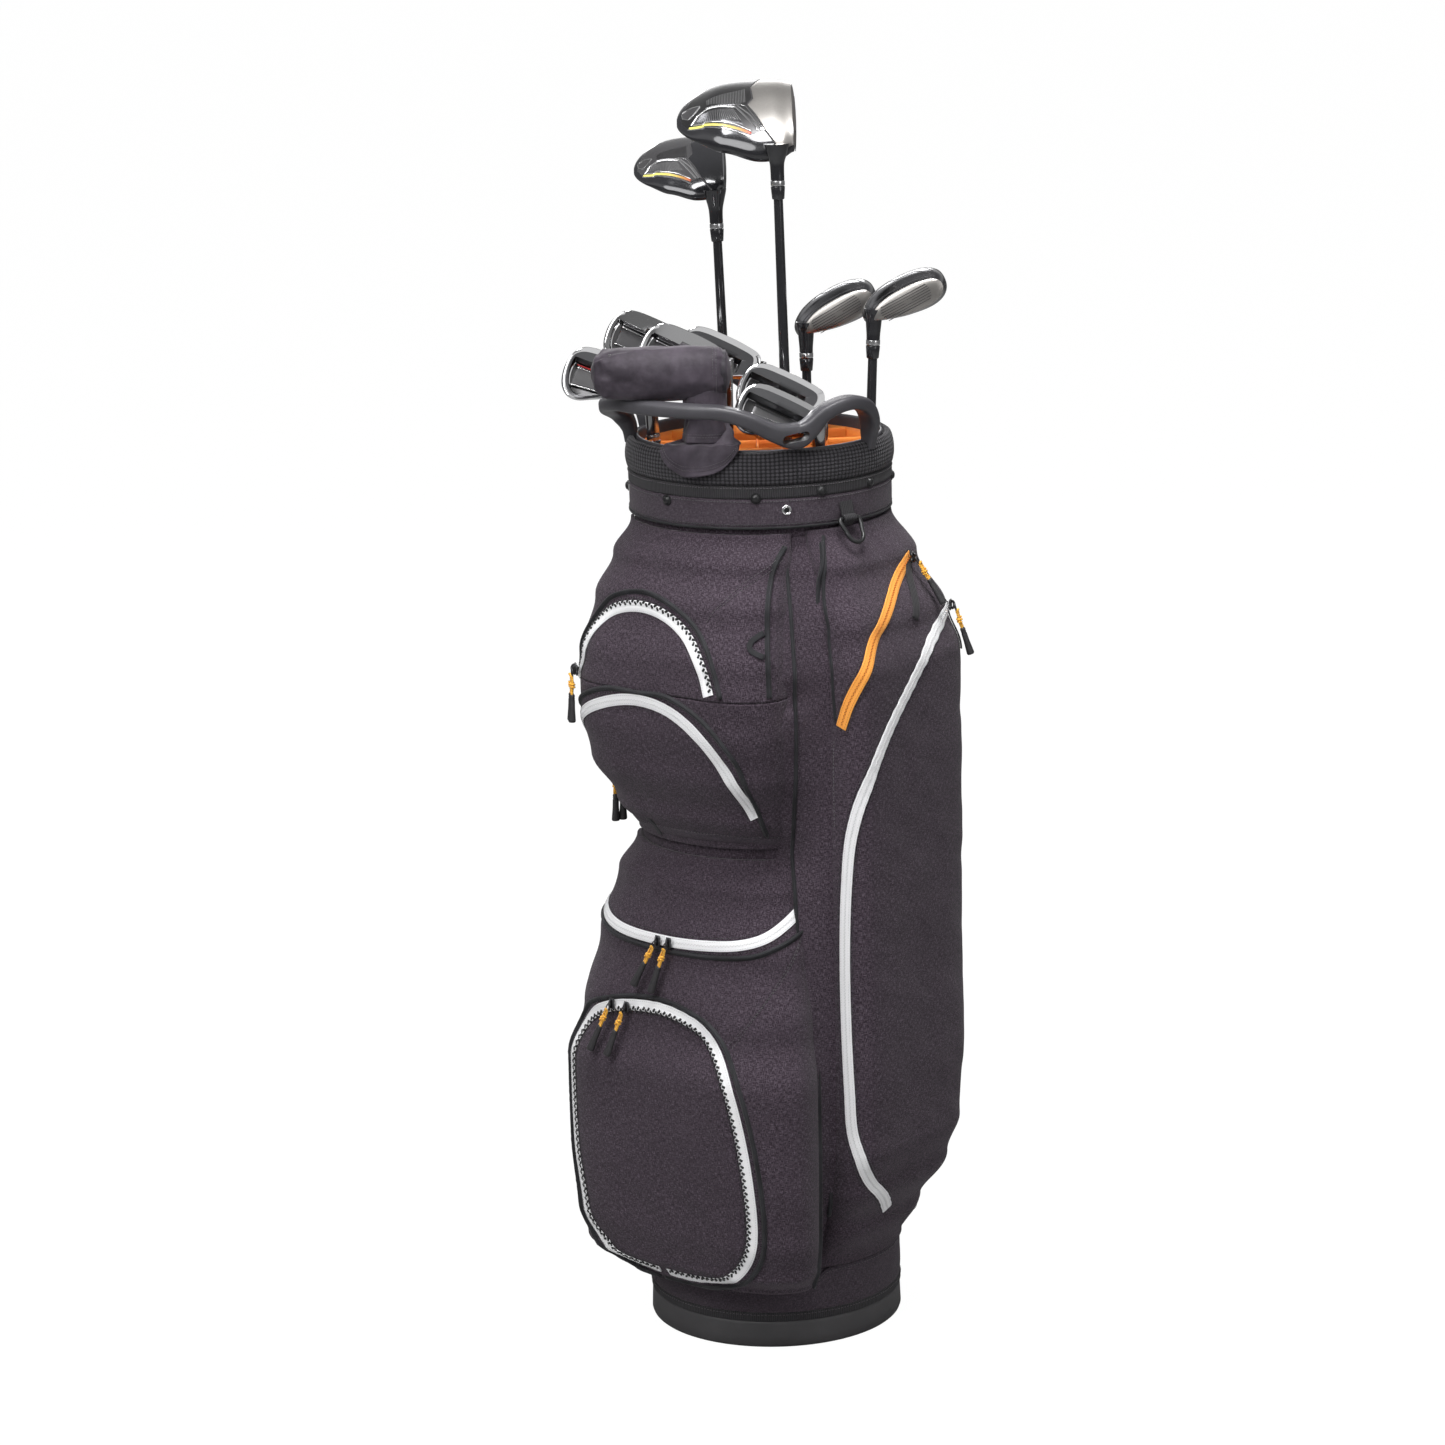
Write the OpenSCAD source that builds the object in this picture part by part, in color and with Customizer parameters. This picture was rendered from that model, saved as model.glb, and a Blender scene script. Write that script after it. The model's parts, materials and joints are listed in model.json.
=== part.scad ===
// Golf club set: a cart bag with a fourteen-well top, and eleven clubs standing in it heads up.
// Millimetres. +Z is up, the pockets face -Y, the large side pocket is on +X.
// The origin is the centre of the base's underside.

/* [Bag body] */
// Outside diameter of the moulded base
base_d = 254; // [240:1:320]
// Height of the moulded base ring
base_h = 28; // [20:1:40]
// Height of the cuff frame's top edge above the floor
bag_h = 905; // [740:1:930]
// Wall of the bag's tube
shell_t = 3; // [2:0.5:5]
// Top of the inside floor, on which the grips stand
floor_top = 25; // [15:1:32]
// Air left between a moving piece, or a soft one, and what it sits on
gap = 0.3; // [0.2:0.05:0.6]

/* [Cuff] */
// Wall of the moulded cuff frame
frame_t = 3; // [2.5:0.5:5]
// Depth of the moulded cuff frame
frame_h = 60; // [40:1:90]
// Height of the padded mesh collar
collar_h = 31; // [20:1:40]
// Thickness of the padded mesh collar
collar_t = 10; // [6:0.5:14]
// Height of the fabric cuff band
cuff_h = 41; // [30:1:60]
// Thickness of the fabric cuff band
cuff_t = 5; // [3:0.5:7]

/* [Dividers] */
// Height of the divider walls
divider_h = 250; // [120:5:400]
// Thickness of a divider wall
divider_t = 2; // [1.5:0.5:4]

/* [Handles] */
// Width of the handle's bar
handle_w = 20; // [16:1:26]
// Thickness of the handle's bar
handle_t = 15; // [12:1:20]

/* [Pockets] */
// Reach of the ball pocket forward of the bag's axis
ball_reach = 180; // [165:1:220]
// Reach of the upper pockets forward of the bag's axis
upper_reach = 172; // [160:1:210]
// Reach of the right side pocket
side_reach = 186; // [165:1:220]
// Reach of the left side pocket
left_reach = 150; // [142:1:180]
// Width of the zips
zip_w = 9; // [6:0.5:12]

/* [Clubs] */
// Diameter of a grip at its butt
grip_d = 27; // [24:0.5:30]
// Length of a grip
grip_l = 265; // [230:5:290]
// Diameter of a shaft at its butt
shaft_butt_d = 15; // [14:0.25:16]
// Diameter of a shaft at its tip
shaft_tip_d = 9; // [8.5:0.25:10]
// Length of the driver
driver_l = 1168; // [1120:1:1180]
// Width of the driver's head, heel to toe
driver_w = 118; // [110:1:124]
// Depth of the driver's head, face to back
driver_d = 113; // [100:1:118]
// Length of the fairway wood
fairway_l = 1113; // [1060:1:1125]
// Width of an iron's blade
blade_w = 78; // [70:1:80]

/* [Hidden] */
$fn = 96;

// Fall of the collar's top below the cuff frame's
collar_drop = 2;

// Scale of the sewn body's pattern with the bag's diameter, and with the height below the cuff
kr = base_d/254;
kz = (bag_h - collar_drop - collar_h - gap - cuff_h)/830.7;

// Radii, from the inside of the mouth outward
shell_r = base_d/2 - 3;
shell_in = shell_r - shell_t;
frame_out = shell_in - gap;
frame_in = frame_out - frame_t;
pocket_r = shell_r + gap;

// Heights of the cuff's pieces, from the top down
collar_top = bag_h - collar_drop;
collar_bot = collar_top - collar_h;
cuff_top = collar_bot - gap;
cuff_bot = cuff_top - cuff_h;
shell_top = cuff_top;
band_top = 62*kz - gap;

// Dark fabric, trim, metal and accent colours
c_fabric = [0.17, 0.16, 0.19];
c_trim = [0.08, 0.08, 0.09];
c_mould = [0.2, 0.2, 0.22];
c_white = [0.92, 0.92, 0.9];
c_orange = [0.95, 0.45, 0.08];
c_yellow = [0.95, 0.68, 0.1];
c_chrome = [0.75, 0.75, 0.77];
c_black = [0.06, 0.06, 0.07];

// Value at x of a list of [x, value] keys, eased between neighbours by half a cosine wave
function eased(keys, x, i = 0) =
    x <= keys[0][0] ? keys[0][1] :
    i >= len(keys) - 1 ? keys[i][1] :
    x <= keys[i+1][0] ?
        let (t = (x - keys[i][0])/(keys[i+1][0] - keys[i][0]), s = (1 - cos(180*t))/2)
        keys[i][1]*(1 - s) + keys[i+1][1]*s :
    eased(keys, x, i + 1);

// Point at u of a smooth curve through a list of points (Catmull-Rom), u counted in spans
function curve(p, u) =
    let (n = len(p) - 1, i = min(floor(u), n - 1), t = u - i,
         a = p[max(i - 1, 0)], b = p[i], c = p[i+1], d = p[min(i + 2, n)])
    0.5*((2*b) + (c - a)*t + (2*a - 5*b + 4*c - d)*t*t + (3*b - a - 3*c + d)*t*t*t);

// Distance from the centre to a superellipse's edge at angle phi from its depth axis
function oval(phi, half_w, depth, n) =
    pow(pow(abs(cos(phi))/depth, n) + pow(abs(sin(phi))/half_w, n), -1/n);

// Faces of a skin over rings of m points each, closed at both ends with the faces of end
function skin_faces(rings, m, end) = concat(
    [for (i = [0:rings-2], j = [0:m-1]) let (k = (j + 1)%m)
        each [[i*m + j, (i + 1)*m + j, (i + 1)*m + k], [i*m + j, (i + 1)*m + k, i*m + k]]],
    end, [for (f = end) [for (j = [len(f)-1:-1:0]) (rings - 1)*m + f[j]]]);

module skin(rings, end = []) {
    m = len(rings[0]);
    polyhedron(points = [for (r = rings) each r], convexity = 6,
        faces = skin_faces(len(rings), m, len(end) > 0 ? end : [[for (j = [0:m-1]) j]]));
}

module ring(r_out, r_in, z0, z1) {
    translate([0, 0, z0]) difference() {
        cylinder(r = r_out, h = z1 - z0);
        translate([0, 0, -1]) cylinder(r = r_in, h = z1 - z0 + 2);
    }
}

// ---- Bag body ----

module base_cup() color(c_mould) difference() {
    union() {
        cylinder(r1 = base_d/2 - 1.5, r2 = base_d/2, h = 4);
        translate([0, 0, 4]) cylinder(r = base_d/2, h = base_h - 4);
    }
    translate([0, 0, floor_top]) cylinder(r = shell_in, h = base_h);
}

module base_band() color(c_fabric) ring(shell_r + gap + 2.5, shell_r + gap, base_h + gap, band_top);

module bag_shell() color(c_fabric) ring(shell_r, shell_in, base_h, shell_top);

// The wells stand in five rows, turned so that the clubs' heads clear each other.
well_turn = 38;
well_r = frame_in - gap;
// Row walls, and the walls across each row, as distances from the axis
row_walls = [-66, -26, 20, 76]*kr;
cross_walls = [[8], [-58, 22], [-60, -2, 62], [-32, 27.5], [0]]*kr;
row_edges = concat([-well_r], row_walls, [well_r]);

module club_dividers() color(c_orange) {
    z1 = bag_h - 12;
    difference() {
        translate([0, 0, z1 - divider_h]) cylinder(r = well_r, h = divider_h);
        rotate(well_turn) for (i = [0:4]) {
            xs = concat([-well_r - 5], cross_walls[i], [well_r + 5]);
            for (j = [0:len(xs) - 2]) intersection() {
                translate([0, 0, z1 - divider_h - 1]) cylinder(r = well_r - divider_t, h = divider_h + 2);
                translate([xs[j] + divider_t/2, row_edges[i] + divider_t/2, z1 - divider_h - 2])
                    cube([xs[j+1] - xs[j] - divider_t, row_edges[i+1] - row_edges[i] - divider_t,
                          divider_h + 4]);
            }
        }
    }
}

module cuff_frame() color(c_mould) ring(frame_out, frame_in, bag_h - frame_h, bag_h);

// The collar's section is a rectangle with a rounded top
module mesh_collar() color(c_trim) {
    r0 = frame_out + gap;
    r1 = r0 + collar_t;
    rotate_extrude() {
        translate([r0, collar_bot]) square([collar_t, collar_h - collar_t/2]);
        intersection() {
            translate([(r0 + r1)/2, collar_top - collar_t/2]) circle(d = collar_t);
            translate([r0, collar_top - collar_t/2]) square([collar_t, collar_t]);
        }
    }
}

module cuff_band() color(c_fabric) ring(shell_r + gap + cuff_t, shell_r + gap, cuff_bot, cuff_top);

// Snap studs round the cuff for a rain hood, as [angle, height below the cuff's top]
stud_spots = [[-138, 18], [-96, 18], [-54, 12], [-41, 24], [-25, 8], [3, 8], [32, 12], [74, 18],
              [116, 18], [158, 18], [200, 18]];
module snap_studs() color(c_chrome) for (s = stud_spots)
    rotate(s[0]) translate([shell_r + gap + cuff_t + 0.05, 0, cuff_top - s[1]]) rotate([0, 90, 0]) {
        cylinder(r = 5, h = 1.2, $fn = 32);
        translate([0, 0, 1.2]) cylinder(r1 = 4, r2 = 3, h = 2, $fn = 32);
    }

// ---- Handles ----

// Each handle is a bar swept along [angle, radius, height above the frame's top edge, extra
// thickness]. Its ends stand on the frame's top edge.
foot_lift = 0.5;
front_route = [[-141, 127, foot_lift, 0], [-141, 127.5, 9, 0], [-139, 136, 20, 0], [-132, 147, 29, 0],
    [-123, 151, 36, 0], [-112, 151, 40, 0], [-98, 149, 40.5, 0], [-80, 147, 40.5, 0], [-66, 143, 39, 0],
    [-55, 139, 30, 2], [-46, 135, 19, 5], [-37, 131, 14, 12], [-31, 131, 20, 6], [-24, 134, 35, 1],
    [-14, 137, 42, 0], [-5, 136, 37, 0], [2, 131, 22, 0], [4.5, 127.5, 9, 0], [4.5, 127, foot_lift, 0]];
rear_route = [[190, 127, foot_lift, 0], [190, 127.5, 10, 0], [186, 136, 25, 0], [177, 142, 37, 0],
    [160, 144, 42, 0], [143, 142, 37, 0], [134, 136, 25, 0], [130, 127.5, 10, 0],
    [130, 127, foot_lift, 0]];

function unit(v) = v/norm(v);
function on_route(p) = [p[1]*kr*cos(p[0]), p[1]*kr*sin(p[0]), bag_h + p[2]];
// Ring of points square to the bar's run: a rounded rectangle, its width across the bag's radius
function bar_ring(route, u) = let (p = curve(route, u), c = on_route(p), n = len(route) - 1,
    run = unit(on_route(curve(route, min(u + 0.05, n))) - on_route(curve(route, max(u - 0.05, 0)))),
    out = [cos(p[0]), sin(p[0]), 0], across = unit(out - run*(out*run)), up = cross(across, run))
    [for (j = [0:11]) let (a = 30*j + 15, x = handle_w/2*sign(cos(a))*pow(abs(cos(a)), 0.7),
        y = (handle_t + p[3])/2*sign(sin(a))*pow(abs(sin(a)), 0.7)) c + x*across + y*up];
module swept_bar(route, steps) {
    n = len(route) - 1;
    skin([for (i = [steps:-1:0]) bar_ring(route, n*i/steps)]);
}
module front_handle() color(c_mould) swept_bar(front_route, 72);
module rear_handle() color(c_mould) swept_bar(rear_route, 32);

// ---- Pockets ----
// Every pocket is a shell on the tube: its thickness at an angle and height is that of a
// superellipse round the bag's axis, faded to a thin edge at its sides, top and bottom.

// [middle angle, half angle, half width, reach, keys of [height, fullness]]
ball_keys = [[62, 0.05], [74, 0.56], [95, 0.82], [130, 0.93], [200, 0.98], [285, 0.98], [338, 0.78],
             [410, 0.55], [472, 0.3], [503, 0.05]];
middle_keys = [[514, 0.04], [550, 0.45], [596, 0.86], [640, 1], [672, 1]];
upper_keys = [[673, 1], [698, 0.96], [753, 0.7], [793, 0.38], [824, 0.04]];
right_keys = [[81, 0.04], [124, 0.34], [171, 0.74], [214, 0.94], [300, 1], [690, 1], [731, 0.82],
              [787, 0.4], [826, 0.03]];
left_keys = [[85, 0.05], [150, 0.8], [230, 1], [650, 1], [730, 0.7], [790, 0.05]];

ball = [-90, 56, 160, ball_reach, ball_keys];
middle = [-90, 51, 132, upper_reach, middle_keys];
upper = [-90, 51, 132, upper_reach, upper_keys];
right = [22, 54, 122, side_reach, right_keys];
left = [154, 38, 116, left_reach, left_keys];

// Angle that a pocket's superellipse faces: the front ones -90, the side ones 0 and 180
function facing(p) = p[0] < 0 ? -90 : p[0] < 90 ? 0 : 180;
thin = 2;
function fullness(p, a, z) = let (e = min(1, (p[1] - abs(a - p[0]))/12))
    sqrt(max(0, 1 - (1 - e)*(1 - e)))*eased(p[4], z/kz);
function reach(p, a, z) = pocket_r + thin
    + (oval(a - facing(p), p[2]*kr, p[3]*kr, 4.5) - pocket_r - thin)*fullness(p, a, z);

pocket_steps = 26;
// Outside points then the inside arc, which clears the tube at the middle of each facet
function pocket_ring(p, z) = let (da = 2*p[1]/pocket_steps, rin = pocket_r/cos(da)) concat(
    [for (i = [0:pocket_steps]) let (a = p[0] - p[1] + da*i, r = reach(p, a, z))
        [r*cos(a), r*sin(a), z]],
    [for (i = [pocket_steps:-2:0]) let (a = p[0] - p[1] + da*i) [rin*cos(a), rin*sin(a), z]]);

// End of a pocket's ring in triangles, each inside the crescent between its two arcs
function crescent(n) = [for (i = [0:2:n-2]) let (q = n + 1 + (n - i)/2)
    each [[i, i + 1, q], [i + 1, q - 1, q], [i + 1, i + 2, q - 1]]];

module pocket(p, rows) {
    z0 = p[4][0][0]*kz;
    z1 = p[4][len(p[4])-1][0]*kz;
    skin([for (i = [0:rows]) pocket_ring(p, z0 + (z1 - z0)*i/rows)], crescent(pocket_steps));
}
module upper_pocket() color(c_fabric) pocket(upper, 14);
module middle_pocket() color(c_fabric) pocket(middle, 13);
module ball_pocket() color(c_fabric) pocket(ball, 28);
module side_pocket_right() color(c_fabric) pocket(right, 42);
module side_pocket_left() color(c_fabric) pocket(left, 24);

// ---- Zips ----
// A zip is a strip on a pocket's face along [angle, height] points
zip_t = 1.5;
zip_lift = 1.2*kr*kr;
function on_pocket(p, a, z, out) = let (r = reach(p, a, z) + out) [r*cos(a), r*sin(a), z];
function strip_ring(p, c0, c1, w) = let (r = reach(p, c0[0], c0[1]*kz),
    dx = (c1[0] - c0[0])*PI/180*r, dz = (c1[1] - c0[1])*kz, l = sqrt(dx*dx + dz*dz),
    na = -dz/l*w/2*180/PI/r, nz = dx/l*w/2, z = c0[1]*kz) concat(
    [for (k = [-1:1]) on_pocket(p, c0[0] + k*na, z + k*nz, zip_lift)],
    [for (k = [1:-1:-1]) on_pocket(p, c0[0] + k*na, z + k*nz, zip_lift + zip_t)]);
module strip(p, route, w, steps) {
    n = len(route) - 1;
    skin([for (i = [0:steps]) let (u = n*i/steps, v = i == steps ? u - 0.02 : u + 0.02,
        s = i == steps ? -1 : 1) let (c = curve(route, u), d = curve(route, v))
        strip_ring(p, c, c + s*(d - c), w)]);
}
upper_zip = [[-126.5, 675], [-123.5, 693], [-119.5, 724], [-112, 745], [-100, 753], [-88, 747], [-78, 730],
    [-72, 705], [-69, 678]];
middle_zip = [[-141, 572], [-134, 608], [-123, 638], [-110, 657], [-97, 664], [-84, 657], [-73, 636],
    [-65, 604], [-56, 552]];
ball_top_zip = [[-138, 438], [-123, 427], [-110, 422], [-90, 421], [-74, 423], [-62, 427], [-52, 436],
    [-41, 456]];
ball_door_zip = [[-98, 80], [-112, 88], [-122, 118], [-126, 200], [-127, 280], [-124, 325], [-113, 347],
    [-96, 355], [-82, 350], [-73, 336], [-66, 300], [-61, 235], [-58.5, 160], [-60, 118], [-67, 90],
    [-80, 80]];
side_zip = [[27, 734], [9, 707], [-3, 672], [-14, 633], [-22, 588], [-26, 542], [-27.5, 480],
    [-28, 390], [-27.5, 282], [-26, 222], [-20, 180], [-4, 135]];
orange_route = [[18, 787], [1, 764], [-15, 732], [-24, 696], [-27, 668], [-28, 642]];

module white_zips() color(c_white) {
    strip(upper, upper_zip, zip_w, 24);
    strip(middle, middle_zip, zip_w, 24);
    strip(ball, ball_top_zip, zip_w, 24);
    strip(ball, ball_door_zip, zip_w, 60);
    strip(right, side_zip, zip_w, 52);
}
module orange_zip() color(c_orange) strip(right, orange_route, zip_w, 20);

// ---- Zip sliders and pulls ----
// A slider is a small block on its zip, single or in a pair on one level line, as [pocket,
// angle, height, distance out from the zip, half the distance between a pair, and the
// sideways lean of each pull]
slider_spots = [[upper, -125, 681, 0.3, 4.4, [0, 0]], [middle, -139, 566, 0.6, 4.4, [0, 0]],
    [ball, -92.5, 421, 0.6, 7, [-26, -16]], [ball, -108.5, 351, 0.6, 10, [-20, -16]],
    [right, 16, 786, 0.7, 0, [8]], [right, 25, 735, 0.3, 0, [4]]];
slider_t = 3;
slider_h = 11;
pull_l = 52;

// Slope of a pocket's face at a spot: sideways as an angle, and downward over a pull's length
function side_slope(s) = let (z = s[2]*kz, r = reach(s[0], s[1], z))
    atan((reach(s[0], s[1] + 1.2, z) - reach(s[0], s[1] - 1.2, z))/(2.4*PI/180*r));
function fall(s) = let (z = s[2]*kz)
    max([for (k = [1:4]) atan((reach(s[0], s[1], z - k*pull_l/4) - reach(s[0], s[1], z) - 2)/(k*pull_l/4))]);

// Frame at a spot, out from the zip's face: +X outward, +Y along the face
module at_spot(s, out) {
    z = s[2]*kz;
    r = reach(s[0], s[1], z) + zip_lift + zip_t;
    translate([r*cos(s[1]), r*sin(s[1]), z]) rotate(s[1] - side_slope(s)) translate([gap + out, 0, 0])
        children();
}
// Places of a spot's one or two sliders along its level line
function along(s) = s[4] > 0 ? [-s[4], s[4]] : [0];
module zip_sliders() color(c_black) for (s = slider_spots) at_spot(s, s[3]) for (y = along(s))
    translate([0, y - 3.2, -slider_h/2]) cube([slider_t, 6.4, slider_h]);

// A pull: a tab that turns on a level pin, a doubled cord and a moulded end
pin_r = 2.4;
module pulls(s) color(c_yellow) at_spot(s, s[3] + slider_t + gap + pin_r)
    for (i = [0:len(along(s)) - 1]) translate([0, along(s)[i], 0]) {
        rotate([90, 0, 0]) cylinder(r = pin_r, h = 5, center = true, $fn = 24);
        rotate([0, -max(0, fall(s)) - 2, 0]) rotate([s[5][i], 0, 0]) {
            translate([0, 0, -pull_l/2 - 1]) cylinder(r = 1.8, h = pull_l/2, $fn = 16);
            translate([0, 0, -pull_l]) cylinder(r1 = 3.4, r2 = 2.5, h = pull_l/2, $fn = 24);
        }
    }
module upper_pulls() pulls(slider_spots[0]);
module middle_pulls() pulls(slider_spots[1]);
module ball_top_pulls() pulls(slider_spots[2]);
module ball_door_pulls() pulls(slider_spots[3]);
module orange_pull() pulls(slider_spots[4]);
module side_pull() pulls(slider_spots[5]);

// ---- Towel ring ----
// A webbing loop on the cuff band holds a D-ring by its straight bar
ring_angle = -13;
ring_z = cuff_bot + 4;
ring_d = 24;
ring_wire = 3.6;
ring_leg = 14;
ring_out = shell_r + gap + cuff_t + gap;
// The ring rests against the side pocket, leaning out
ring_rest = 34;
module ring_loop() color(c_trim) rotate(ring_angle) translate([ring_out, 0, ring_z]) difference() {
    translate([0, -8, -4.5]) cube([9, 16, 9]);
    translate([4.5, 0, 0]) rotate([90, 0, 0]) cylinder(d = ring_wire + 2*gap, h = 30, center = true, $fn = 32);
}
module strap_ring() color(c_black) rotate(ring_angle) translate([ring_out + 4.5, 0, ring_z])
    rotate([0, -ring_rest, 0]) rotate([90, 0, 0]) {
        cylinder(d = ring_wire, h = ring_d, center = true, $fn = 32);
        for (side = [-1, 1]) translate([0, 0, side*ring_d/2]) rotate([90, 0, 0]) {
            sphere(d = ring_wire, $fn = 32);
            cylinder(d = ring_wire, h = ring_leg, $fn = 32);
        }
        translate([0, -ring_leg, 0]) rotate([0, 90, 0]) rotate([0, 0, 180])
            rotate_extrude(angle = 180, $fn = 48) translate([ring_d/2, 0]) circle(d = ring_wire, $fn = 32);
    }

// ---- Clubs ----
// A club stands on its grip, shaft along +Z. Its head is drawn in the playing position, with
// +X to the toe, +Y the way the face looks and +Z up from the sole, about the point where the
// shaft's axis meets the ground, then turned sole up.

// Place of a club as [across, back, lean, turn of the toe, length], in the wells' turned frame
driver = [27, -11, -1, 90, driver_l];
fairway = [-32, 98.5, -1.8, 90, fairway_l];
hybrid4 = [109, -4, 2.5, 0, 1006];
hybrid5 = [48, 46, 0, 0, 987];
iron6 = [-66, 61, 0, 180, 960];
iron7 = [-31, -41, 0, 180, 960];
iron8 = [1, 38, 0, 180, 944];
iron9 = [-104, 5, -4, 180, 935];
pitching = [60.5, -42, 0, 180, 916];
sand = [57, -86, 0, 180, 902];
putter = [-45, -90, 0, 180, 948];

// The lean's foot is set so that the club passes the mouth at its place
module place(c) rotate(well_turn)
    translate([c[0]*kr - (bag_h - floor_top)*tan(c[2]), c[1]*kr,
               floor_top + gap + grip_d/2*sin(abs(c[2]))])
    rotate([0, c[2], 0]) rotate(c[3]) children();

module sole_up(length, lie) translate([0, 0, length]) rotate([0, lie - 90, 0]) rotate([180, 0, 0])
    children();

function shaft_r(z, length, hosel) = let (t = (z - 8)/(length - hosel - 8))
    (shaft_butt_d*(1 - t) + shaft_tip_d*t)/2;

hosel_in = 28;
ferrule_l = 12;
function tip_z(length, hosel) = length - hosel + hosel_in;

module shaft(length, hosel, tone) {
    z_h = length - hosel;
    color(tone) union() {
        translate([0, 0, 8]) cylinder(r1 = shaft_butt_d/2, r2 = shaft_tip_d/2, h = z_h - ferrule_l - 8);
        translate([0, 0, z_h - ferrule_l]) cylinder(d = shaft_tip_d, h = hosel_in + ferrule_l);
    }
    color(c_black) translate([0, 0, z_h - ferrule_l]) difference() {
        cylinder(r1 = shaft_tip_d/2 + 0.9, r2 = shaft_tip_d/2 + 2, h = ferrule_l - 0.1);
        translate([0, 0, -1]) cylinder(d = shaft_tip_d + 0.2, h = ferrule_l + 2);
    }
}
module grip(length, hosel) color(c_black) difference() {
    union() {
        cylinder(r1 = grip_d/2 - 2, r2 = grip_d/2, h = 3);
        translate([0, 0, 3]) cylinder(r1 = grip_d/2, r2 = grip_d/2 - 4.2, h = grip_l - 3);
    }
    translate([0, 0, 7.9]) cylinder(r1 = shaft_r(8, length, hosel) + 0.1,
        r2 = shaft_r(grip_l, length, hosel) + 0.1, h = grip_l - 7.8);
}

// A wood's head: sections from the face to the back, each a superellipse, wider in front
// [width, depth, crown height, face lead, hosel length, lie, squareness, heel past the shaft]
driver_form = [driver_w, driver_d, 52, 17, 50, 58, 0.75, 14];
fairway_form = [98, 89, 32, 9, 48, 59, 0.75, 14];
hybrid_form = [88, 56, 38, 8, 45, 60, 0.65, 20];

head_points = 28;
head_rows = 14;
function wood_half(f, t) = f[0]/2*(t < 0.25 ? 0.9 + 0.1*sin(360*t) :
    sqrt(max(0, 1 - pow((t - 0.25)/0.75, 2.4))));
function wood_top(f, t) = f[2]*eased([[0, 0.86], [0.22, 1], [0.6, 0.82], [1, 0.42]], t);
function wood_sole(f, t) = f[2]*eased([[0, 0.06], [0.2, 0], [0.6, 0.03], [1, 0.3]], t);
function wood_ring(f, t) = let (w = max(wood_half(f, t), 3), top = wood_top(f, t), low = wood_sole(f, t),
    mid = low + (top - low)*0.42, y = f[3] - f[1]*t)
    [for (j = [0:head_points - 1]) let (a = 360*j/head_points, c = cos(a), s = sin(a),
        x = f[0]/2 - f[7] + w*sign(c)*pow(abs(c), f[6]), lift = 0.4*(top - mid)*(1 - c))
        [x, y, mid + (s > 0 ? (top - mid)*pow(s, f[6]) : -(mid - low)*pow(-s, f[6])) - (s > 0 ? lift*s : 0)]];
module wood_head(f) {
    h = f[4];
    difference() {
        union() {
            skin([for (i = [0:head_rows]) let (t = 1 - pow(1 - i/head_rows, 1.6))
                wood_ring(f, i == 0 ? 0 : i == head_rows ? 0.997 : t)]);
            rotate([0, f[5] - 90, 0]) translate([0, 0, 14]) cylinder(r1 = 11, r2 = 6.6, h = h - 14 - 6);
            rotate([0, f[5] - 90, 0]) translate([0, 0, h - 6.1]) cylinder(r = 6.6, h = 6.1);
        }
        rotate([0, f[5] - 90, 0]) translate([0, 0, h - hosel_in - 0.1])
            cylinder(d = shaft_tip_d + 0.2, h = hosel_in + 1);
    }
}

// An iron's head: a wedge-shaped blade between its outline on the face and its back, laid
// back by its loft, with a cavity sunk in the back
iron_hosel = 64;
iron_lie = 63;
blade_outline = [[4, 2], [30, 0], [58, 1.5], [68, 5], [75, 14], [77, 28], [74, 44], [66, 54], [55, 55],
    [30, 42], [10, 31], [2, 28], [-4, 16], [-2, 6]];
module blade(scale_w) {
    k = scale_w/76;
    pts = [for (p = blade_outline) [p[0]*k, p[1]]];
    n = len(pts);
    // thickness grows from the top line to the sole
    skin([[for (p = pts) [p[0], 0, p[1]]],
          [for (p = pts) [p[0], -1.2, p[1]]],
          [for (p = pts) let (q = max(0, 1 - p[1]/52)) [p[0]*0.985 + 0.5, -4.2 - 13*q, p[1]*0.97 + 1 + 2*q]]]);
}
module iron_head(loft) {
    difference() {
        union() {
            translate([0, 4, 0]) rotate([loft, 0, 0]) difference() {
                blade(blade_w);
                // cavity in the back, clear of the sole and the top line
                translate([20, -20.5, 17]) rotate([-7, 0, 0]) linear_extrude(20)
                    polygon([[0, 0], [46, 0], [46, 16], [2, 16]]);
            }
            rotate([0, iron_lie - 90, 0]) translate([0, 0, 4]) cylinder(r1 = 7.4, r2 = 6.5, h = 24);
            rotate([0, iron_lie - 90, 0]) translate([0, 0, 27.9]) cylinder(r = 6.5, h = iron_hosel - 27.9);
        }
        rotate([0, iron_lie - 90, 0]) translate([0, 0, iron_hosel - hosel_in - 0.1])
            cylinder(d = shaft_tip_d + 0.2, h = hosel_in + 1);
    }
}

// The putter: a blade head on a short hosel, inside its soft cover
putter_lie = 76;
putter_hosel = 70;
blade_x = 100;
head_rise = blade_x*cos(putter_lie);
module putter_blade() {
    difference() {
        union() {
            translate([-6, -14, 0]) cube([6 + blade_x, 26, 7]);
            translate([-6, 4, 0]) cube([6 + blade_x, 8, 20]);
            rotate([0, putter_lie - 90, 0]) translate([0, 0, 7]) cylinder(r = 6.4, h = putter_hosel - 7);
        }
        rotate([0, putter_lie - 90, 0]) translate([0, 0, putter_hosel - hosel_in - 0.1])
            cylinder(d = shaft_tip_d + 0.2, h = hosel_in + 1);
    }
}

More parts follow.
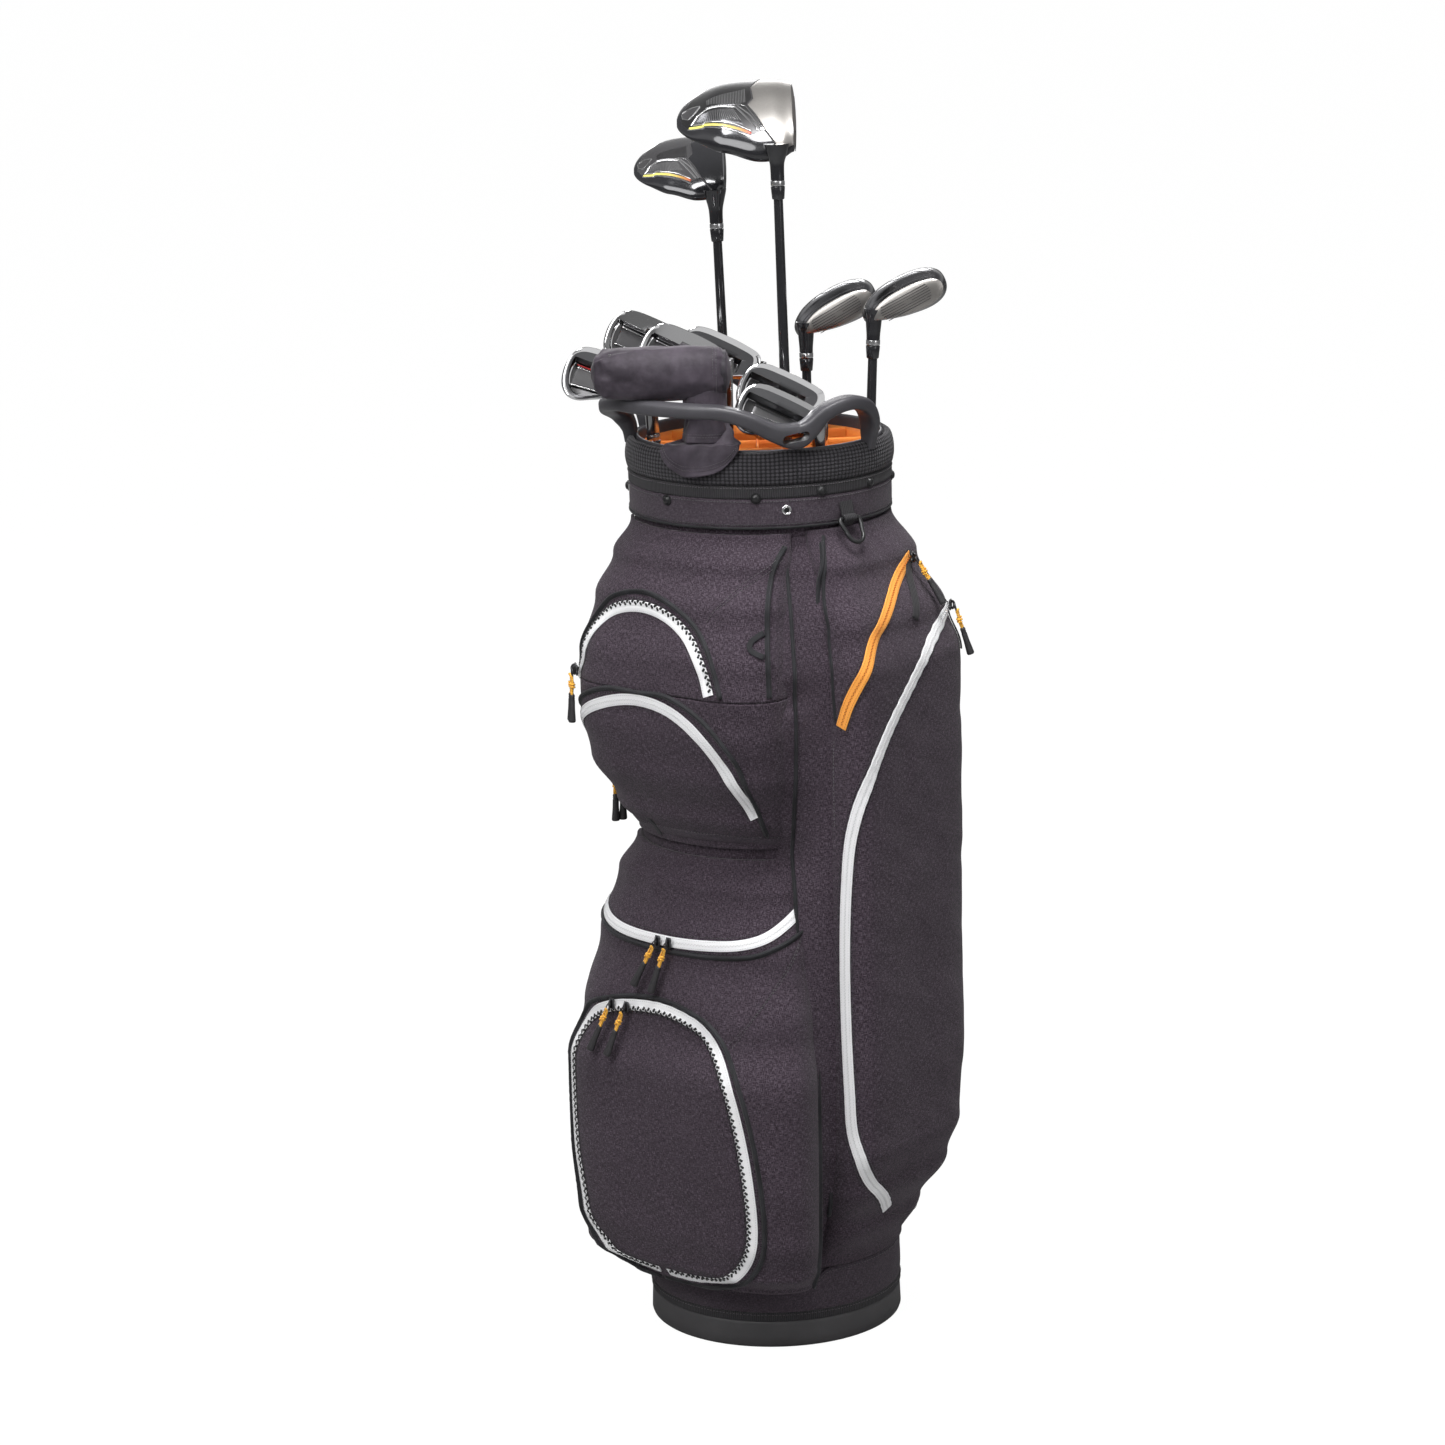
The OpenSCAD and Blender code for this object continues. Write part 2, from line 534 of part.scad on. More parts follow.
module driver_head() color(c_mould) place(driver) sole_up(driver[4], driver_form[5]) wood_head(driver_form);
module driver_shaft() place(driver) shaft(driver[4], driver_form[4], c_black);
module driver_grip() place(driver) grip(driver[4], driver_form[4]);
module fairway_head() color(c_black) place(fairway) sole_up(fairway[4], fairway_form[5]) wood_head(fairway_form);
module fairway_shaft() place(fairway) shaft(fairway[4], fairway_form[4], c_black);
module fairway_grip() place(fairway) grip(fairway[4], fairway_form[4]);
module hybrid4_head() color(c_mould) place(hybrid4) sole_up(hybrid4[4], hybrid_form[5]) wood_head(hybrid_form);
module hybrid4_shaft() place(hybrid4) shaft(hybrid4[4], hybrid_form[4], c_black);
module hybrid4_grip() place(hybrid4) grip(hybrid4[4], hybrid_form[4]);
module hybrid5_head() color(c_mould) place(hybrid5) sole_up(hybrid5[4], hybrid_form[5]) wood_head(hybrid_form);
module hybrid5_shaft() place(hybrid5) shaft(hybrid5[4], hybrid_form[4], c_black);
module hybrid5_grip() place(hybrid5) grip(hybrid5[4], hybrid_form[4]);
module iron_at(c, loft) color(c_chrome) place(c) sole_up(c[4], iron_lie) iron_head(loft);
module iron6_head() iron_at(iron6, 26);
module iron6_shaft() place(iron6) shaft(iron6[4], iron_hosel, c_chrome);
module iron6_grip() place(iron6) grip(iron6[4], iron_hosel);
module iron7_head() iron_at(iron7, 29);
module iron7_shaft() place(iron7) shaft(iron7[4], iron_hosel, c_chrome);
module iron7_grip() place(iron7) grip(iron7[4], iron_hosel);
module iron8_head() iron_at(iron8, 33);
module iron8_shaft() place(iron8) shaft(iron8[4], iron_hosel, c_chrome);
module iron8_grip() place(iron8) grip(iron8[4], iron_hosel);
module iron9_head() iron_at(iron9, 38);
module iron9_shaft() place(iron9) shaft(iron9[4], iron_hosel, c_chrome);
module iron9_grip() place(iron9) grip(iron9[4], iron_hosel);
module pitching_wedge_head() iron_at(pitching, 43);
module pitching_wedge_shaft() place(pitching) shaft(pitching[4], iron_hosel, c_chrome);
module pitching_wedge_grip() place(pitching) grip(pitching[4], iron_hosel);
module sand_wedge_head() iron_at(sand, 48);
module sand_wedge_shaft() place(sand) shaft(sand[4], iron_hosel, c_chrome);
module sand_wedge_grip() place(sand) grip(sand[4], iron_hosel);
module putter_head() color(c_mould) place(putter) sole_up(putter[4], putter_lie) putter_blade();
module putter_shaft() place(putter) shaft(putter[4], putter_hosel, c_chrome);
module putter_grip() place(putter) grip(putter[4], putter_hosel);

// The cover is a soft envelope over the head with a neck round the hosel, open below, and
// hangs on the head's upper end
module bevelled(w, d, h, b) linear_extrude(h, center = true) polygon([[b - w/2, -d/2], [w/2 - b, -d/2],
    [w/2, b - d/2], [w/2, d/2 - b], [w/2 - b, d/2], [b - w/2, d/2], [-w/2, d/2 - b], [-w/2, b - d/2]]);
module putter_cover() color(c_fabric) place(putter) translate([0, 0, putter[4]]) difference() {
    union() {
        translate([47.5, 1, 4]) rotate([0, 90, 0]) bevelled(46, 46, 129, 8);
        translate([6, 1, -40]) bevelled(44, 40, 52, 6);
    }
    translate([-14, -16, -17]) cube([122, 34, 17 + head_rise + gap]);
    translate([-13, -15, -80]) cube([37, 31, 70]);
}

base_cup();
base_band();
bag_shell();
club_dividers();
cuff_frame();
mesh_collar();
cuff_band();
snap_studs();
front_handle();
rear_handle();
upper_pocket();
middle_pocket();
ball_pocket();
side_pocket_right();
side_pocket_left();
white_zips();
orange_zip();
zip_sliders();
ring_loop();
strap_ring();
upper_pulls();
middle_pulls();
ball_top_pulls();
ball_door_pulls();
orange_pull();
side_pull();
driver_head();
driver_shaft();
driver_grip();
fairway_head();
fairway_shaft();
fairway_grip();
hybrid4_head();
hybrid4_shaft();
hybrid4_grip();
hybrid5_head();
hybrid5_shaft();
hybrid5_grip();
iron6_head();
iron6_shaft();
iron6_grip();
iron7_head();
iron7_shaft();
iron7_grip();
iron8_head();
iron8_shaft();
iron8_grip();
iron9_head();
iron9_shaft();
iron9_grip();
pitching_wedge_head();
pitching_wedge_shaft();
pitching_wedge_grip();
sand_wedge_head();
sand_wedge_shaft();
sand_wedge_grip();
putter_head();
putter_shaft();
putter_grip();
putter_cover();
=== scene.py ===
import json
import bpy
import numpy as np
from mathutils import Matrix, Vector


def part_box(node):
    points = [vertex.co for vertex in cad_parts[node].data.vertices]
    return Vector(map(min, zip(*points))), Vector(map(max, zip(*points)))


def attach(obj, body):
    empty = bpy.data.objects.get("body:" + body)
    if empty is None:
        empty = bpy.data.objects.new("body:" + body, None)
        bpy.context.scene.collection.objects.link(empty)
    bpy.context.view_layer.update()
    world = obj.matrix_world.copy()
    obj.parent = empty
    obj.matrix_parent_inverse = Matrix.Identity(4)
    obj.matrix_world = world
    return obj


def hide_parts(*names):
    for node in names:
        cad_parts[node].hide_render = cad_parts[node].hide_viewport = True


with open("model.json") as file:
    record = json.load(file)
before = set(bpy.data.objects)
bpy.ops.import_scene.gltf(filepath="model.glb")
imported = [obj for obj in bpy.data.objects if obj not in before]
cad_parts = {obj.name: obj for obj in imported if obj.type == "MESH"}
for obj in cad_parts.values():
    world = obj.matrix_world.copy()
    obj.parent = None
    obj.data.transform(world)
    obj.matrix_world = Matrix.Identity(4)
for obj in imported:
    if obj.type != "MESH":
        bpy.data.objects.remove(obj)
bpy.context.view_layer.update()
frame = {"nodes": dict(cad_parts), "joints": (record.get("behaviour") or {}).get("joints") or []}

mm = 0.001
scene = bpy.context.scene

# Camera, floor and light
viewSet = {"place": (2.677, -3.426, 1.629), "azimuth": 38.0, "down": 13.185, "roll": -1.1655, "lens": 112.06,
    "shiftX": -0.0296}
lightSet = {"keyWatts": 44, "fillWatts": 12, "backWatts": 32, "topWatts": 92, "worldStrength": 0.27,
    "floorColor": 0.34}


def addNode(tree, kind, values=None, **settings):
    # One shader node: settings go on the node, values on its sockets, linked where they are sockets
    made = tree.nodes.new(kind)
    for key, value in settings.items():
        setattr(made, key, value)
    for key, value in (values or {}).items():
        socket = made.inputs[key]
        if isinstance(value, bpy.types.NodeSocket):
            tree.links.new(value, socket)
        else:
            socket.default_value = value
    return made


def addRamp(tree, factor, stops, kind="LINEAR"):
    # A colour ramp read at factor, from (place, grey or colour) stops
    made = addNode(tree, "ShaderNodeValToRGB", {"Fac": factor})
    made.color_ramp.interpolation = kind
    while len(made.color_ramp.elements) < len(stops):
        made.color_ramp.elements.new(0.5)
    for element, (place, tone) in zip(made.color_ramp.elements, stops):
        element.position = place
        element.color = (*tone, 1) if isinstance(tone, tuple) else (tone, tone, tone, 1)
    return made.outputs["Color"]


def addMath(tree, operation, *values):
    # One maths node on sockets or numbers
    made = addNode(tree, "ShaderNodeMath", dict(enumerate(values)), operation=operation)
    return made.outputs[0]


def times(tree, first, second):
    # Product of two sockets or numbers
    return addMath(tree, "MULTIPLY", first, second)


def plus(tree, first, second):
    # Their total
    return addMath(tree, "ADD", first, second)


def addMix(tree, factor, first, second, blend="MIX"):
    # Colour mix of two sockets or plain colours
    made = addNode(tree, "ShaderNodeMix", data_type="RGBA", blend_type=blend)
    for place, value in ((0, factor), (6, first), (7, second)):
        if isinstance(value, bpy.types.NodeSocket):
            tree.links.new(value, made.inputs[place])
        else:
            made.inputs[place].default_value = (*value, 1) if isinstance(value, tuple) else value
    return made.outputs[2]


def placeCamera():
    # Camera turned by its azimuth, tipped down and rolled, with the frame shifted sideways
    data = bpy.data.cameras.new("camera")
    camera = bpy.data.objects.new("camera", data)
    scene.collection.objects.link(camera)
    turn = Matrix.Identity(3)
    for degrees, axis in ((viewSet["azimuth"], "Z"), (90 - viewSet["down"], "X"), (viewSet["roll"], "Z")):
        turn = turn @ Matrix.Rotation(np.radians(degrees), 3, axis)
    camera.location = viewSet["place"]
    camera.rotation_euler = turn.to_euler()
    data.lens = viewSet["lens"]
    data.sensor_width = 36
    data.shift_x = viewSet["shiftX"]
    scene.camera = camera


def placeLamp(name, place, target, size, watts):
    # Disk lamp at a place, aimed at a target (metres)
    data = bpy.data.lights.new(name, "AREA")
    data.shape, data.size, data.energy = "DISK", size, watts
    lamp = bpy.data.objects.new(name, data)
    scene.collection.objects.link(lamp)
    lamp.location = place
    aim = Matrix.Translation(target).translation - lamp.location
    lamp.rotation_euler = aim.to_track_quat("-Z", "Y").to_euler()


def makeStage():
    # A wide pale floor, whose colour goes towards white for the eye
    mesh = bpy.data.meshes.new("floor")
    mesh.from_pydata([(-40, -40, -2e-4), (40, -40, -2e-4), (40, 40, -2e-4), (-40, 40, -2e-4)], [], [(0, 1, 2, 3)])
    floor = bpy.data.objects.new("floor", mesh)
    scene.collection.objects.link(floor)
    material = bpy.data.materials.new("paleFloor")
    material.use_nodes = True
    tree = material.node_tree
    shader = tree.nodes["Principled BSDF"]
    tone = lightSet["floorColor"]
    shader.inputs["Base Color"].default_value = (tone, tone, tone, 1)
    shader.inputs["Roughness"].default_value = 0.9
    glow = addNode(tree, "ShaderNodeEmission", {"Color": (1, 1, 1, 1), "Strength": 1.14})
    path = addNode(tree, "ShaderNodeLightPath")
    share = times(tree, path.outputs["Is Camera Ray"], 0.86)
    mixed = addNode(tree, "ShaderNodeMixShader", {0: share, 1: shader.outputs[0], 2: glow.outputs[0]})
    tree.links.new(mixed.outputs[0], tree.nodes["Material Output"].inputs["Surface"])
    mesh.materials.append(material)
    # World: soft grey light, white to the eye, and banded for reflections so that metal has form
    world = bpy.data.worlds.new("studio")
    scene.world = world
    world.use_nodes = True
    tree = world.node_tree
    tree.nodes.clear()
    path = addNode(tree, "ShaderNodeLightPath")
    way = addNode(tree, "ShaderNodeTexCoord")
    height = addNode(tree, "ShaderNodeSeparateXYZ", {0: way.outputs["Generated"]})
    bands = addRamp(tree, addMath(tree, "MULTIPLY_ADD", height.outputs["Z"], 0.5, 0.5),
        [(0.0, 0.55), (0.47, 0.6), (0.52, 0.12), (0.6, 0.2), (0.68, 0.85), (0.8, 0.9), (0.88, 0.35), (1.0, 0.3)])
    soft = addNode(tree, "ShaderNodeBackground", {"Color": (1, 1, 1, 1), "Strength": lightSet["worldStrength"]})
    shine = addNode(tree, "ShaderNodeBackground", {"Color": bands, "Strength": 0.8})
    white = addNode(tree, "ShaderNodeBackground", {"Color": (1, 1, 1, 1), "Strength": 1.0})
    first = addNode(tree, "ShaderNodeMixShader", {0: path.outputs["Is Glossy Ray"], 1: soft.outputs[0],
        2: shine.outputs[0]})
    last = addNode(tree, "ShaderNodeMixShader", {0: path.outputs["Is Camera Ray"], 1: first.outputs[0],
        2: white.outputs[0]})
    out = addNode(tree, "ShaderNodeOutputWorld")
    tree.links.new(last.outputs[0], out.inputs["Surface"])
    placeLamp("keyLamp", (0.15, -2.0, 2.35), (0, 0, 0.95), 1.8, lightSet["keyWatts"])
    placeLamp("fillLamp", (3.4, -0.6, 1.5), (0, 0, 0.5), 1.6, lightSet["fillWatts"])
    placeLamp("backLamp", (-2.2, 2.4, 2.4), (0, 0, 0.7), 1.6, lightSet["backWatts"])
    placeLamp("topLamp", (0.6, -0.4, 3.4), (0, 0, 0.9), 1.4, lightSet["topWatts"])
    scene.view_settings.view_transform = "Standard"


placeCamera()
makeStage()
print("stage set")

# Helpers: curves, grids and meshes


def eased(keys, x):
    # Value at x of [place, value] keys, eased between neighbours by half a cosine wave
    places, values = np.array(keys, float).T
    x = np.clip(x, places[0], places[-1])
    i = np.clip(np.searchsorted(places, x, "right") - 1, 0, len(places) - 2)
    s = (1 - np.cos(np.pi * (x - places[i]) / (places[i + 1] - places[i]))) / 2
    return values[i] * (1 - s) + values[i + 1] * s


def smoothRoute(points, count):
    # Catmull-Rom curve through points, as count points evenly apart along its length
    p = np.array(points, float)
    n = len(p) - 1
    u = np.linspace(0, n, 24 * n + 1)
    i = np.minimum(u.astype(int), n - 1)
    t = (u - i)[:, None]
    a, b, c, d = p[np.maximum(i - 1, 0)], p[i], p[i + 1], p[np.minimum(i + 2, n)]
    fine = 0.5 * (2 * b + (c - a) * t + (2 * a - 5 * b + 4 * c - d) * t ** 2 + (3 * b - a - 3 * c + d) * t ** 3)
    return evenly(fine, count)


def runs(steps):
    # Running total of steps, from 0
    return np.concatenate([[0], np.cumsum(steps)])


def gaps(path):
    # Distances between neighbouring points
    return np.linalg.norm(np.diff(path, axis=0), axis=-1)


def evenly(path, count):
    # The same path as count points at equal distances
    gone = runs(gaps(path))
    return picked(path, gone, np.linspace(0, gone[-1], count))


def picked(values, gone, at):
    # Rows of values read at distances along a path
    return np.stack([np.interp(at, gone, column) for column in np.asarray(values).T], 1)


def unit(v):
    # Vectors divided by their own length
    return v / np.maximum(np.linalg.norm(v, axis=-1, keepdims=True), 1e-12)


def turned(points, axis, degrees):
    # Points turned about X, Y or Z through the origin
    a = np.radians(degrees)
    i, j = {"X": (1, 2), "Y": (2, 0), "Z": (0, 1)}[axis]
    out = np.array(points, float)
    out[..., i] = np.cos(a) * points[..., i] - np.sin(a) * points[..., j]
    out[..., j] = np.sin(a) * points[..., i] + np.cos(a) * points[..., j]
    return out


def softNoise(x, y, seed):
    # Smooth noise from -1 to 1: random values on a lattice, eased between its corners
    table = np.random.default_rng(seed).uniform(-1, 1, (64, 64))
    i, j = np.floor(x).astype(int), np.floor(y).astype(int)
    s, t = x - i, y - j
    s, t = s * s * (3 - 2 * s), t * t * (3 - 2 * t)
    at = lambda a, b: table[a % 64, b % 64]
    return ((at(i, j) * (1 - s) + at(i + 1, j) * s) * (1 - t) + (at(i, j + 1) * (1 - s) + at(i + 1, j + 1) * s) * t)


def buildMesh(name, points, polygons, maps=None):
    # Mesh object from an array of points and arrays of same-sided faces, with UVs per corner
    mesh = bpy.data.meshes.new(name)
    corners = np.concatenate([p.ravel() for p in polygons]).astype(np.int32)
    sizes = np.concatenate([np.full(len(p), p.shape[1]) for p in polygons])
    starts = runs(sizes)[:-1].astype(np.int32)
    mesh.vertices.add(len(points))
    mesh.vertices.foreach_set("co", np.asarray(points, np.float32).ravel())
    mesh.loops.add(len(corners))
    mesh.loops.foreach_set("vertex_index", corners)
    mesh.polygons.add(len(sizes))
    mesh.polygons.foreach_set("loop_start", starts)
    mesh.polygons.foreach_set("use_smooth", np.ones(len(sizes), bool))
    if maps is not None:
        layer = mesh.uv_layers.new(name="UVMap")
        layer.data.foreach_set("uv", np.asarray(maps, np.float32).ravel())
    mesh.update(calc_edges=True)
    piece = bpy.data.objects.new(name, mesh)
    scene.collection.objects.link(piece)
    return piece


def gridFaces(rows, cols, ring, loop):
    # Corner rows and columns of every face of a grid, the last column joined to the first in a ring
    r, c = np.meshgrid(np.arange(rows if loop else rows - 1), np.arange(cols if ring else cols - 1), indexing="ij")
    r, c = r.ravel(), c.ravel()
    return np.stack([r, r, r + 1, r + 1], 1), np.stack([c, c + 1, c + 1, c], 1)


def gridPiece(name, grid, body, material, slot, ring=False, loop=False, caps="", sharp=None, zones=None):
    # Surface over a grid of points in millimetres. caps: s and e close the first and last rows
    # with a fan. zones: the material's number for each row. The UVs are distances along the
    # columns and rows, in metres
    grid = np.asarray(grid, float) * mm
    rows, cols = grid.shape[:2]
    rr, cc = gridFaces(rows, cols, ring, loop)
    quads = (rr % rows) * cols + cc % cols
    closed = np.concatenate([grid, grid[:, :1]], 1) if ring else grid
    closed = np.concatenate([closed, closed[:1]], 0) if loop else closed
    u = np.linalg.norm(np.diff(closed, axis=1), axis=2).mean(0)
    v = gaps(closed).mean(1)
    u, v = runs(u), runs(v)
    maps = np.stack([u[cc], v[rr]], -1).reshape(-1, 2)
    points, polygons = grid.reshape(-1, 3), [quads]
    for end in caps:
        row = 0 if end == "s" else rows - 1
        middle = len(points)
        points = np.concatenate([points, grid[row].mean(0)[None]])
        c = np.arange(cols if ring else cols - 1)
        a, b = row * cols + c, row * cols + (c + 1) % cols
        polygons.append(np.stack([b, a, 0 * a + middle] if end == "s" else [a, b, 0 * a + middle], 1))
        maps = np.concatenate([maps, np.stack([u[np.stack([c, c + 1, c], 1)],
            np.full((len(c), 3), v[row if end == "s" else -1])], -1).reshape(-1, 2)])
    piece = buildMesh(name, points, polygons, maps)
    if zones is not None:
        index = np.zeros(len(piece.data.polygons), np.int32)
        index[:len(rr)] = np.asarray(zones)[rr[:, 0]]
        piece.data.polygons.foreach_set("material_index", index)
    faceOutward(piece)
    return finishPiece(piece, body, material, sharp)


def finishPiece(piece, body, material, sharp=None):
    # Material, body and finish of a piece; sharp keeps edges above that angle crisp
    for one in material if isinstance(material, (list, tuple)) else [material]:
        piece.data.materials.append(one)
    if sharp:
        piece.data.set_sharp_from_angle(angle=np.radians(sharp))
    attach(piece, body)
    return piece


def shellPiece(name, front, back, body, material, sharp=None):
    # Closed shell from two grids with the same rows and columns: both skins, and a strip round
    # their borders. The UVs are distances along the front's columns and rows, in metres
    front, back = np.asarray(front, float) * mm, np.asarray(back, float) * mm
    rows, cols = front.shape[:2]
    rr, cc = gridFaces(rows, cols, False, False)
    quads = rr * cols + cc
    u = runs(np.linalg.norm(np.diff(front, axis=1), axis=2).mean(0))
    v = runs(gaps(front).mean(1))
    edge = np.concatenate([np.arange(cols - 1), np.arange(rows - 1) * cols + cols - 1,
        (rows - 1) * cols + np.arange(cols - 1, 0, -1), np.arange(rows - 1, 0, -1) * cols])
    after = np.roll(edge, -1)
    half = rows * cols
    strips = np.stack([after, edge, edge + half, after + half], 1)
    polygons = [quads, quads[:, ::-1] + half, strips]
    flat = np.tile(np.stack([np.broadcast_to(u, (rows, cols)), np.broadcast_to(v[:, None], (rows, cols))],
        -1).reshape(-1, 2), (2, 1))
    maps = np.concatenate([flat[p.ravel()] for p in polygons])
    piece = buildMesh(name, np.concatenate([front.reshape(-1, 3), back.reshape(-1, 3)]), polygons, maps)
    faceOutward(piece)
    return finishPiece(piece, body, material, sharp)


def faceOutward(piece):
    # Faces of a closed mesh flipped where its volume, summed from its corners, is negative
    mesh = piece.data
    mesh.calc_loop_triangles()
    co = np.zeros(len(mesh.vertices) * 3)
    mesh.vertices.foreach_get("co", co)
    co = co.reshape(-1, 3)
    tri = np.zeros(len(mesh.loop_triangles) * 3, int)
    mesh.loop_triangles.foreach_get("vertices", tri)
    a, b, c = co[tri.reshape(-1, 3)].transpose(1, 0, 2)
    if (np.cross(a - co[0], b - co[0]) * (c - co[0])).sum() <= 0:
        mesh.flip_normals()


def joinGrids(name, grids, body, material, ring=False, sharp=None):
    # Many grids of one size, shaped (count, rows, cols, 3), as one mesh with closed ends in a ring
    grids = np.asarray(grids, float) * mm
    count, rows, cols = grids.shape[:3]
    rr, cc = gridFaces(rows, cols, ring, False)
    quads = (rr * cols + cc % cols)[None] + (np.arange(count) * rows * cols)[:, None, None]
    polygons = [quads.reshape(-1, 4)]
    if ring:
        low = np.arange(cols)[::-1][None] + (np.arange(count) * rows * cols)[:, None]
        high = np.arange(cols)[None] + ((rows - 1) * cols + np.arange(count) * rows * cols)[:, None]
        polygons += [low, high]
    piece = buildMesh(name, grids.reshape(-1, 3), polygons)
    return finishPiece(piece, body, material, sharp)


def sweep(path, section, up):
    # A section (x across, y along up) carried along a path, square to it: one row per path point
    path, section = np.asarray(path, float), np.asarray(section, float)
    along = unit(np.gradient(path, axis=0))
    up = np.broadcast_to(np.asarray(up, float), path.shape)
    up = unit(up - along * (up * along).sum(1, keepdims=True))
    across = np.cross(up, along)
    if section.ndim == 2:
        section = np.broadcast_to(section, (len(path), *section.shape))
    return path[:, None] + section[..., :1] * across[:, None] + section[..., 1:] * up[:, None]


def roundSection(radius, count=10):
    # Circle: radius times cosine and sine
    a = fullTurn(count)
    return np.stack([radius * np.cos(a), radius * np.sin(a)], 1)[::-1]


def boxySection(width, height, power=0.35, count=24):
    # Rounded rectangle as a superellipse
    a = fullTurn(count)
    c, s = np.cos(a), np.sin(a)
    return np.stack([width / 2 * superCurve(c, power), height / 2 * superCurve(s, power)], 1)[::-1]


def fullTurn(count):
    # Evenly spaced angles of one turn, in radians
    return np.linspace(0, 2 * np.pi, count, endpoint=False)


def around(radius, degrees, height):
    # Points at a radius and angle from the bag's axis, at a height
    a = np.radians(degrees)
    return np.stack(np.broadcast_arrays(radius * np.cos(a), radius * np.sin(a), height), -1)


def superCurve(value, power):
    # A sine or cosine raised to a power, its sign kept: superellipse sections
    return np.sign(value) * abs(value) ** power


def levels(node):
    # Lowest and highest point of a CAD node in millimetres
    return [corner.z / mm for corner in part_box(node)]


def lathe(profile, count=96):
    # Profile of (radius, height) turned about Z: one row per profile point
    profile = np.asarray(profile, float)
    a = fullTurn(count)
    return np.stack([profile[:, :1] * np.cos(a), profile[:, :1] * np.sin(a),
        np.broadcast_to(profile[:, 1:], (len(profile), count))], -1)


def stitchRow(name, path, normals, body, material, pitch=3.4, length=2.3, radius=0.38, lift=0.15):
    # Short sewn stitches: eight-point spindles laid along a path, resting on the surface
    gone = runs(gaps(path))
    at = np.arange(pitch / 2, gone[-1], pitch)
    pick = lambda values: picked(values, gone, at)
    centre, normal = pick(path), unit(pick(normals))
    along = unit(pick(np.gradient(path, axis=0)))
    side = np.cross(normal, along)
    reach, wide = np.array([-0.5, -0.35, 0.35, 0.5]) * length, np.array([0.35, 1, 1, 0.35]) * radius
    a = fullTurn(5)
    ring = (side[:, None, None] * np.cos(a)[None, None, :, None] + normal[:, None, None]
        * np.sin(a)[None, None, :, None])
    grids = (centre[:, None, None] + normal[:, None, None] * lift + along[:, None, None] * reach[None, :, None, None]
        + ring * wide[None, :, None, None])
    return joinGrids(name, grids, body, material, ring=True)


def bagBar(name, grid, material, slot, **extra):
    # Bar, cord or strip on the bag: rings of points along it, capped at both ends
    return gridPiece(name, grid, "bag", material, slot, ring=True, caps="se", **extra)


# Materials


def newMaterial(name, color=(0.5, 0.5, 0.5), roughness=0.5, metallic=0.0, **sockets):
    # Principled material with plain values; returns the material, its node tree and shader
    material = bpy.data.materials.new(name)
    material.use_nodes = True
    shader = material.node_tree.nodes["Principled BSDF"]
    shader.inputs["Base Color"].default_value = (*color, 1)
    shader.inputs["Roughness"].default_value = roughness
    shader.inputs["Metallic"].default_value = metallic
    for key, value in sockets.items():
        shader.inputs[key.replace("_", " ")].default_value = value
    return material, material.node_tree, shader


def place(tree, kind="UV", scale=(1, 1, 1), turn=0.0):
    # Coordinates scaled, and turned about Z: UV in metres, or Object
    coords = addNode(tree, "ShaderNodeTexCoord")
    made = addNode(tree, "ShaderNodeMapping", {"Vector": coords.outputs[kind], "Scale": scale,
        "Rotation": (0, 0, turn)})
    return made.outputs[0]


def noise(tree, vector, scale, detail=3.0, roughness=0.5):
    # Fractal noise with scale patches to a metre
    values = {"Vector": vector, "Scale": scale, "Detail": detail, "Roughness": roughness}
    return addNode(tree, "ShaderNodeTexNoise", values).outputs["Fac"]


waveScale = 0.314  # scale of a wave texture that has one ridge to a metre


def ridges(tree, pitch, distortion, axis="X", detail=2.0, turn=0.0):
    # Sine ridges across U or V, pitch metres apart: a thread, rib or twist of the cloth
    values = {"Vector": place(tree, turn=turn), "Scale": waveScale / pitch, "Distortion": distortion,
        "Detail": detail}
    return addNode(tree, "ShaderNodeTexWave", values, bands_direction=axis).outputs["Fac"]


def tint(tree, shader, tone):
    # The colour socket of a shader fed by tone
    tree.links.new(tone, shader.inputs["Base Color"])


def bumpTo(tree, shader, height, strength, distance):
    # Relief in the shader's normals, distance metres high
    made = addNode(tree, "ShaderNodeBump", {"Height": height, "Strength": strength, "Distance": distance})
    tree.links.new(made.outputs[0], shader.inputs["Normal"])


def wovenCloth(name, dark, light, pitch=0.0011, contrast=1.0, bump=0.0004, sheen=0.1, mottle=0.5):
    # Heathered weave: warp and weft threads crossing, with painted shade in the gaps between them, long pale slubs
    # along both, slow colour drift
    material, tree, shader = newMaterial(name, dark, 0.9, Sheen_Weight=sheen, Sheen_Roughness=0.5,
        Specular_IOR_Level=0.2)
    threads = times(tree, ridges(tree, pitch, 0.6, "X", 1.0), ridges(tree, pitch, 0.6, "Y", 1.0))
    slubsAcross = noise(tree, place(tree, scale=(1, 7, 1)), 260, 2.0)
    slubsDown = noise(tree, place(tree, scale=(7, 1, 1)), 260, 2.0)
    fleck = addMath(tree, "MAXIMUM", slubsAcross, slubsDown)
    drift = noise(tree, place(tree), 9, 3.0)
    share = addRamp(tree, fleck, [(0.5, 0.0), (0.72, contrast)])
    tone = addMix(tree, share, dark, light)
    tone = addMix(tree, times(tree, drift, mottle), tone, tuple(c * 0.72 for c in dark))
    # painted shade: the low gaps between the threads are darkened towards a much darker copy of the dark tone
    tone = addMix(tree, addRamp(tree, threads, [(0.0, 0.28), (0.5, 0.0)]), tone, tuple(c * 0.35 for c in dark))
    tint(tree, shader, tone)
    height = plus(tree, threads, times(tree, fleck, 0.8))
    bumpTo(tree, shader, height, 0.6, bump)
    return material


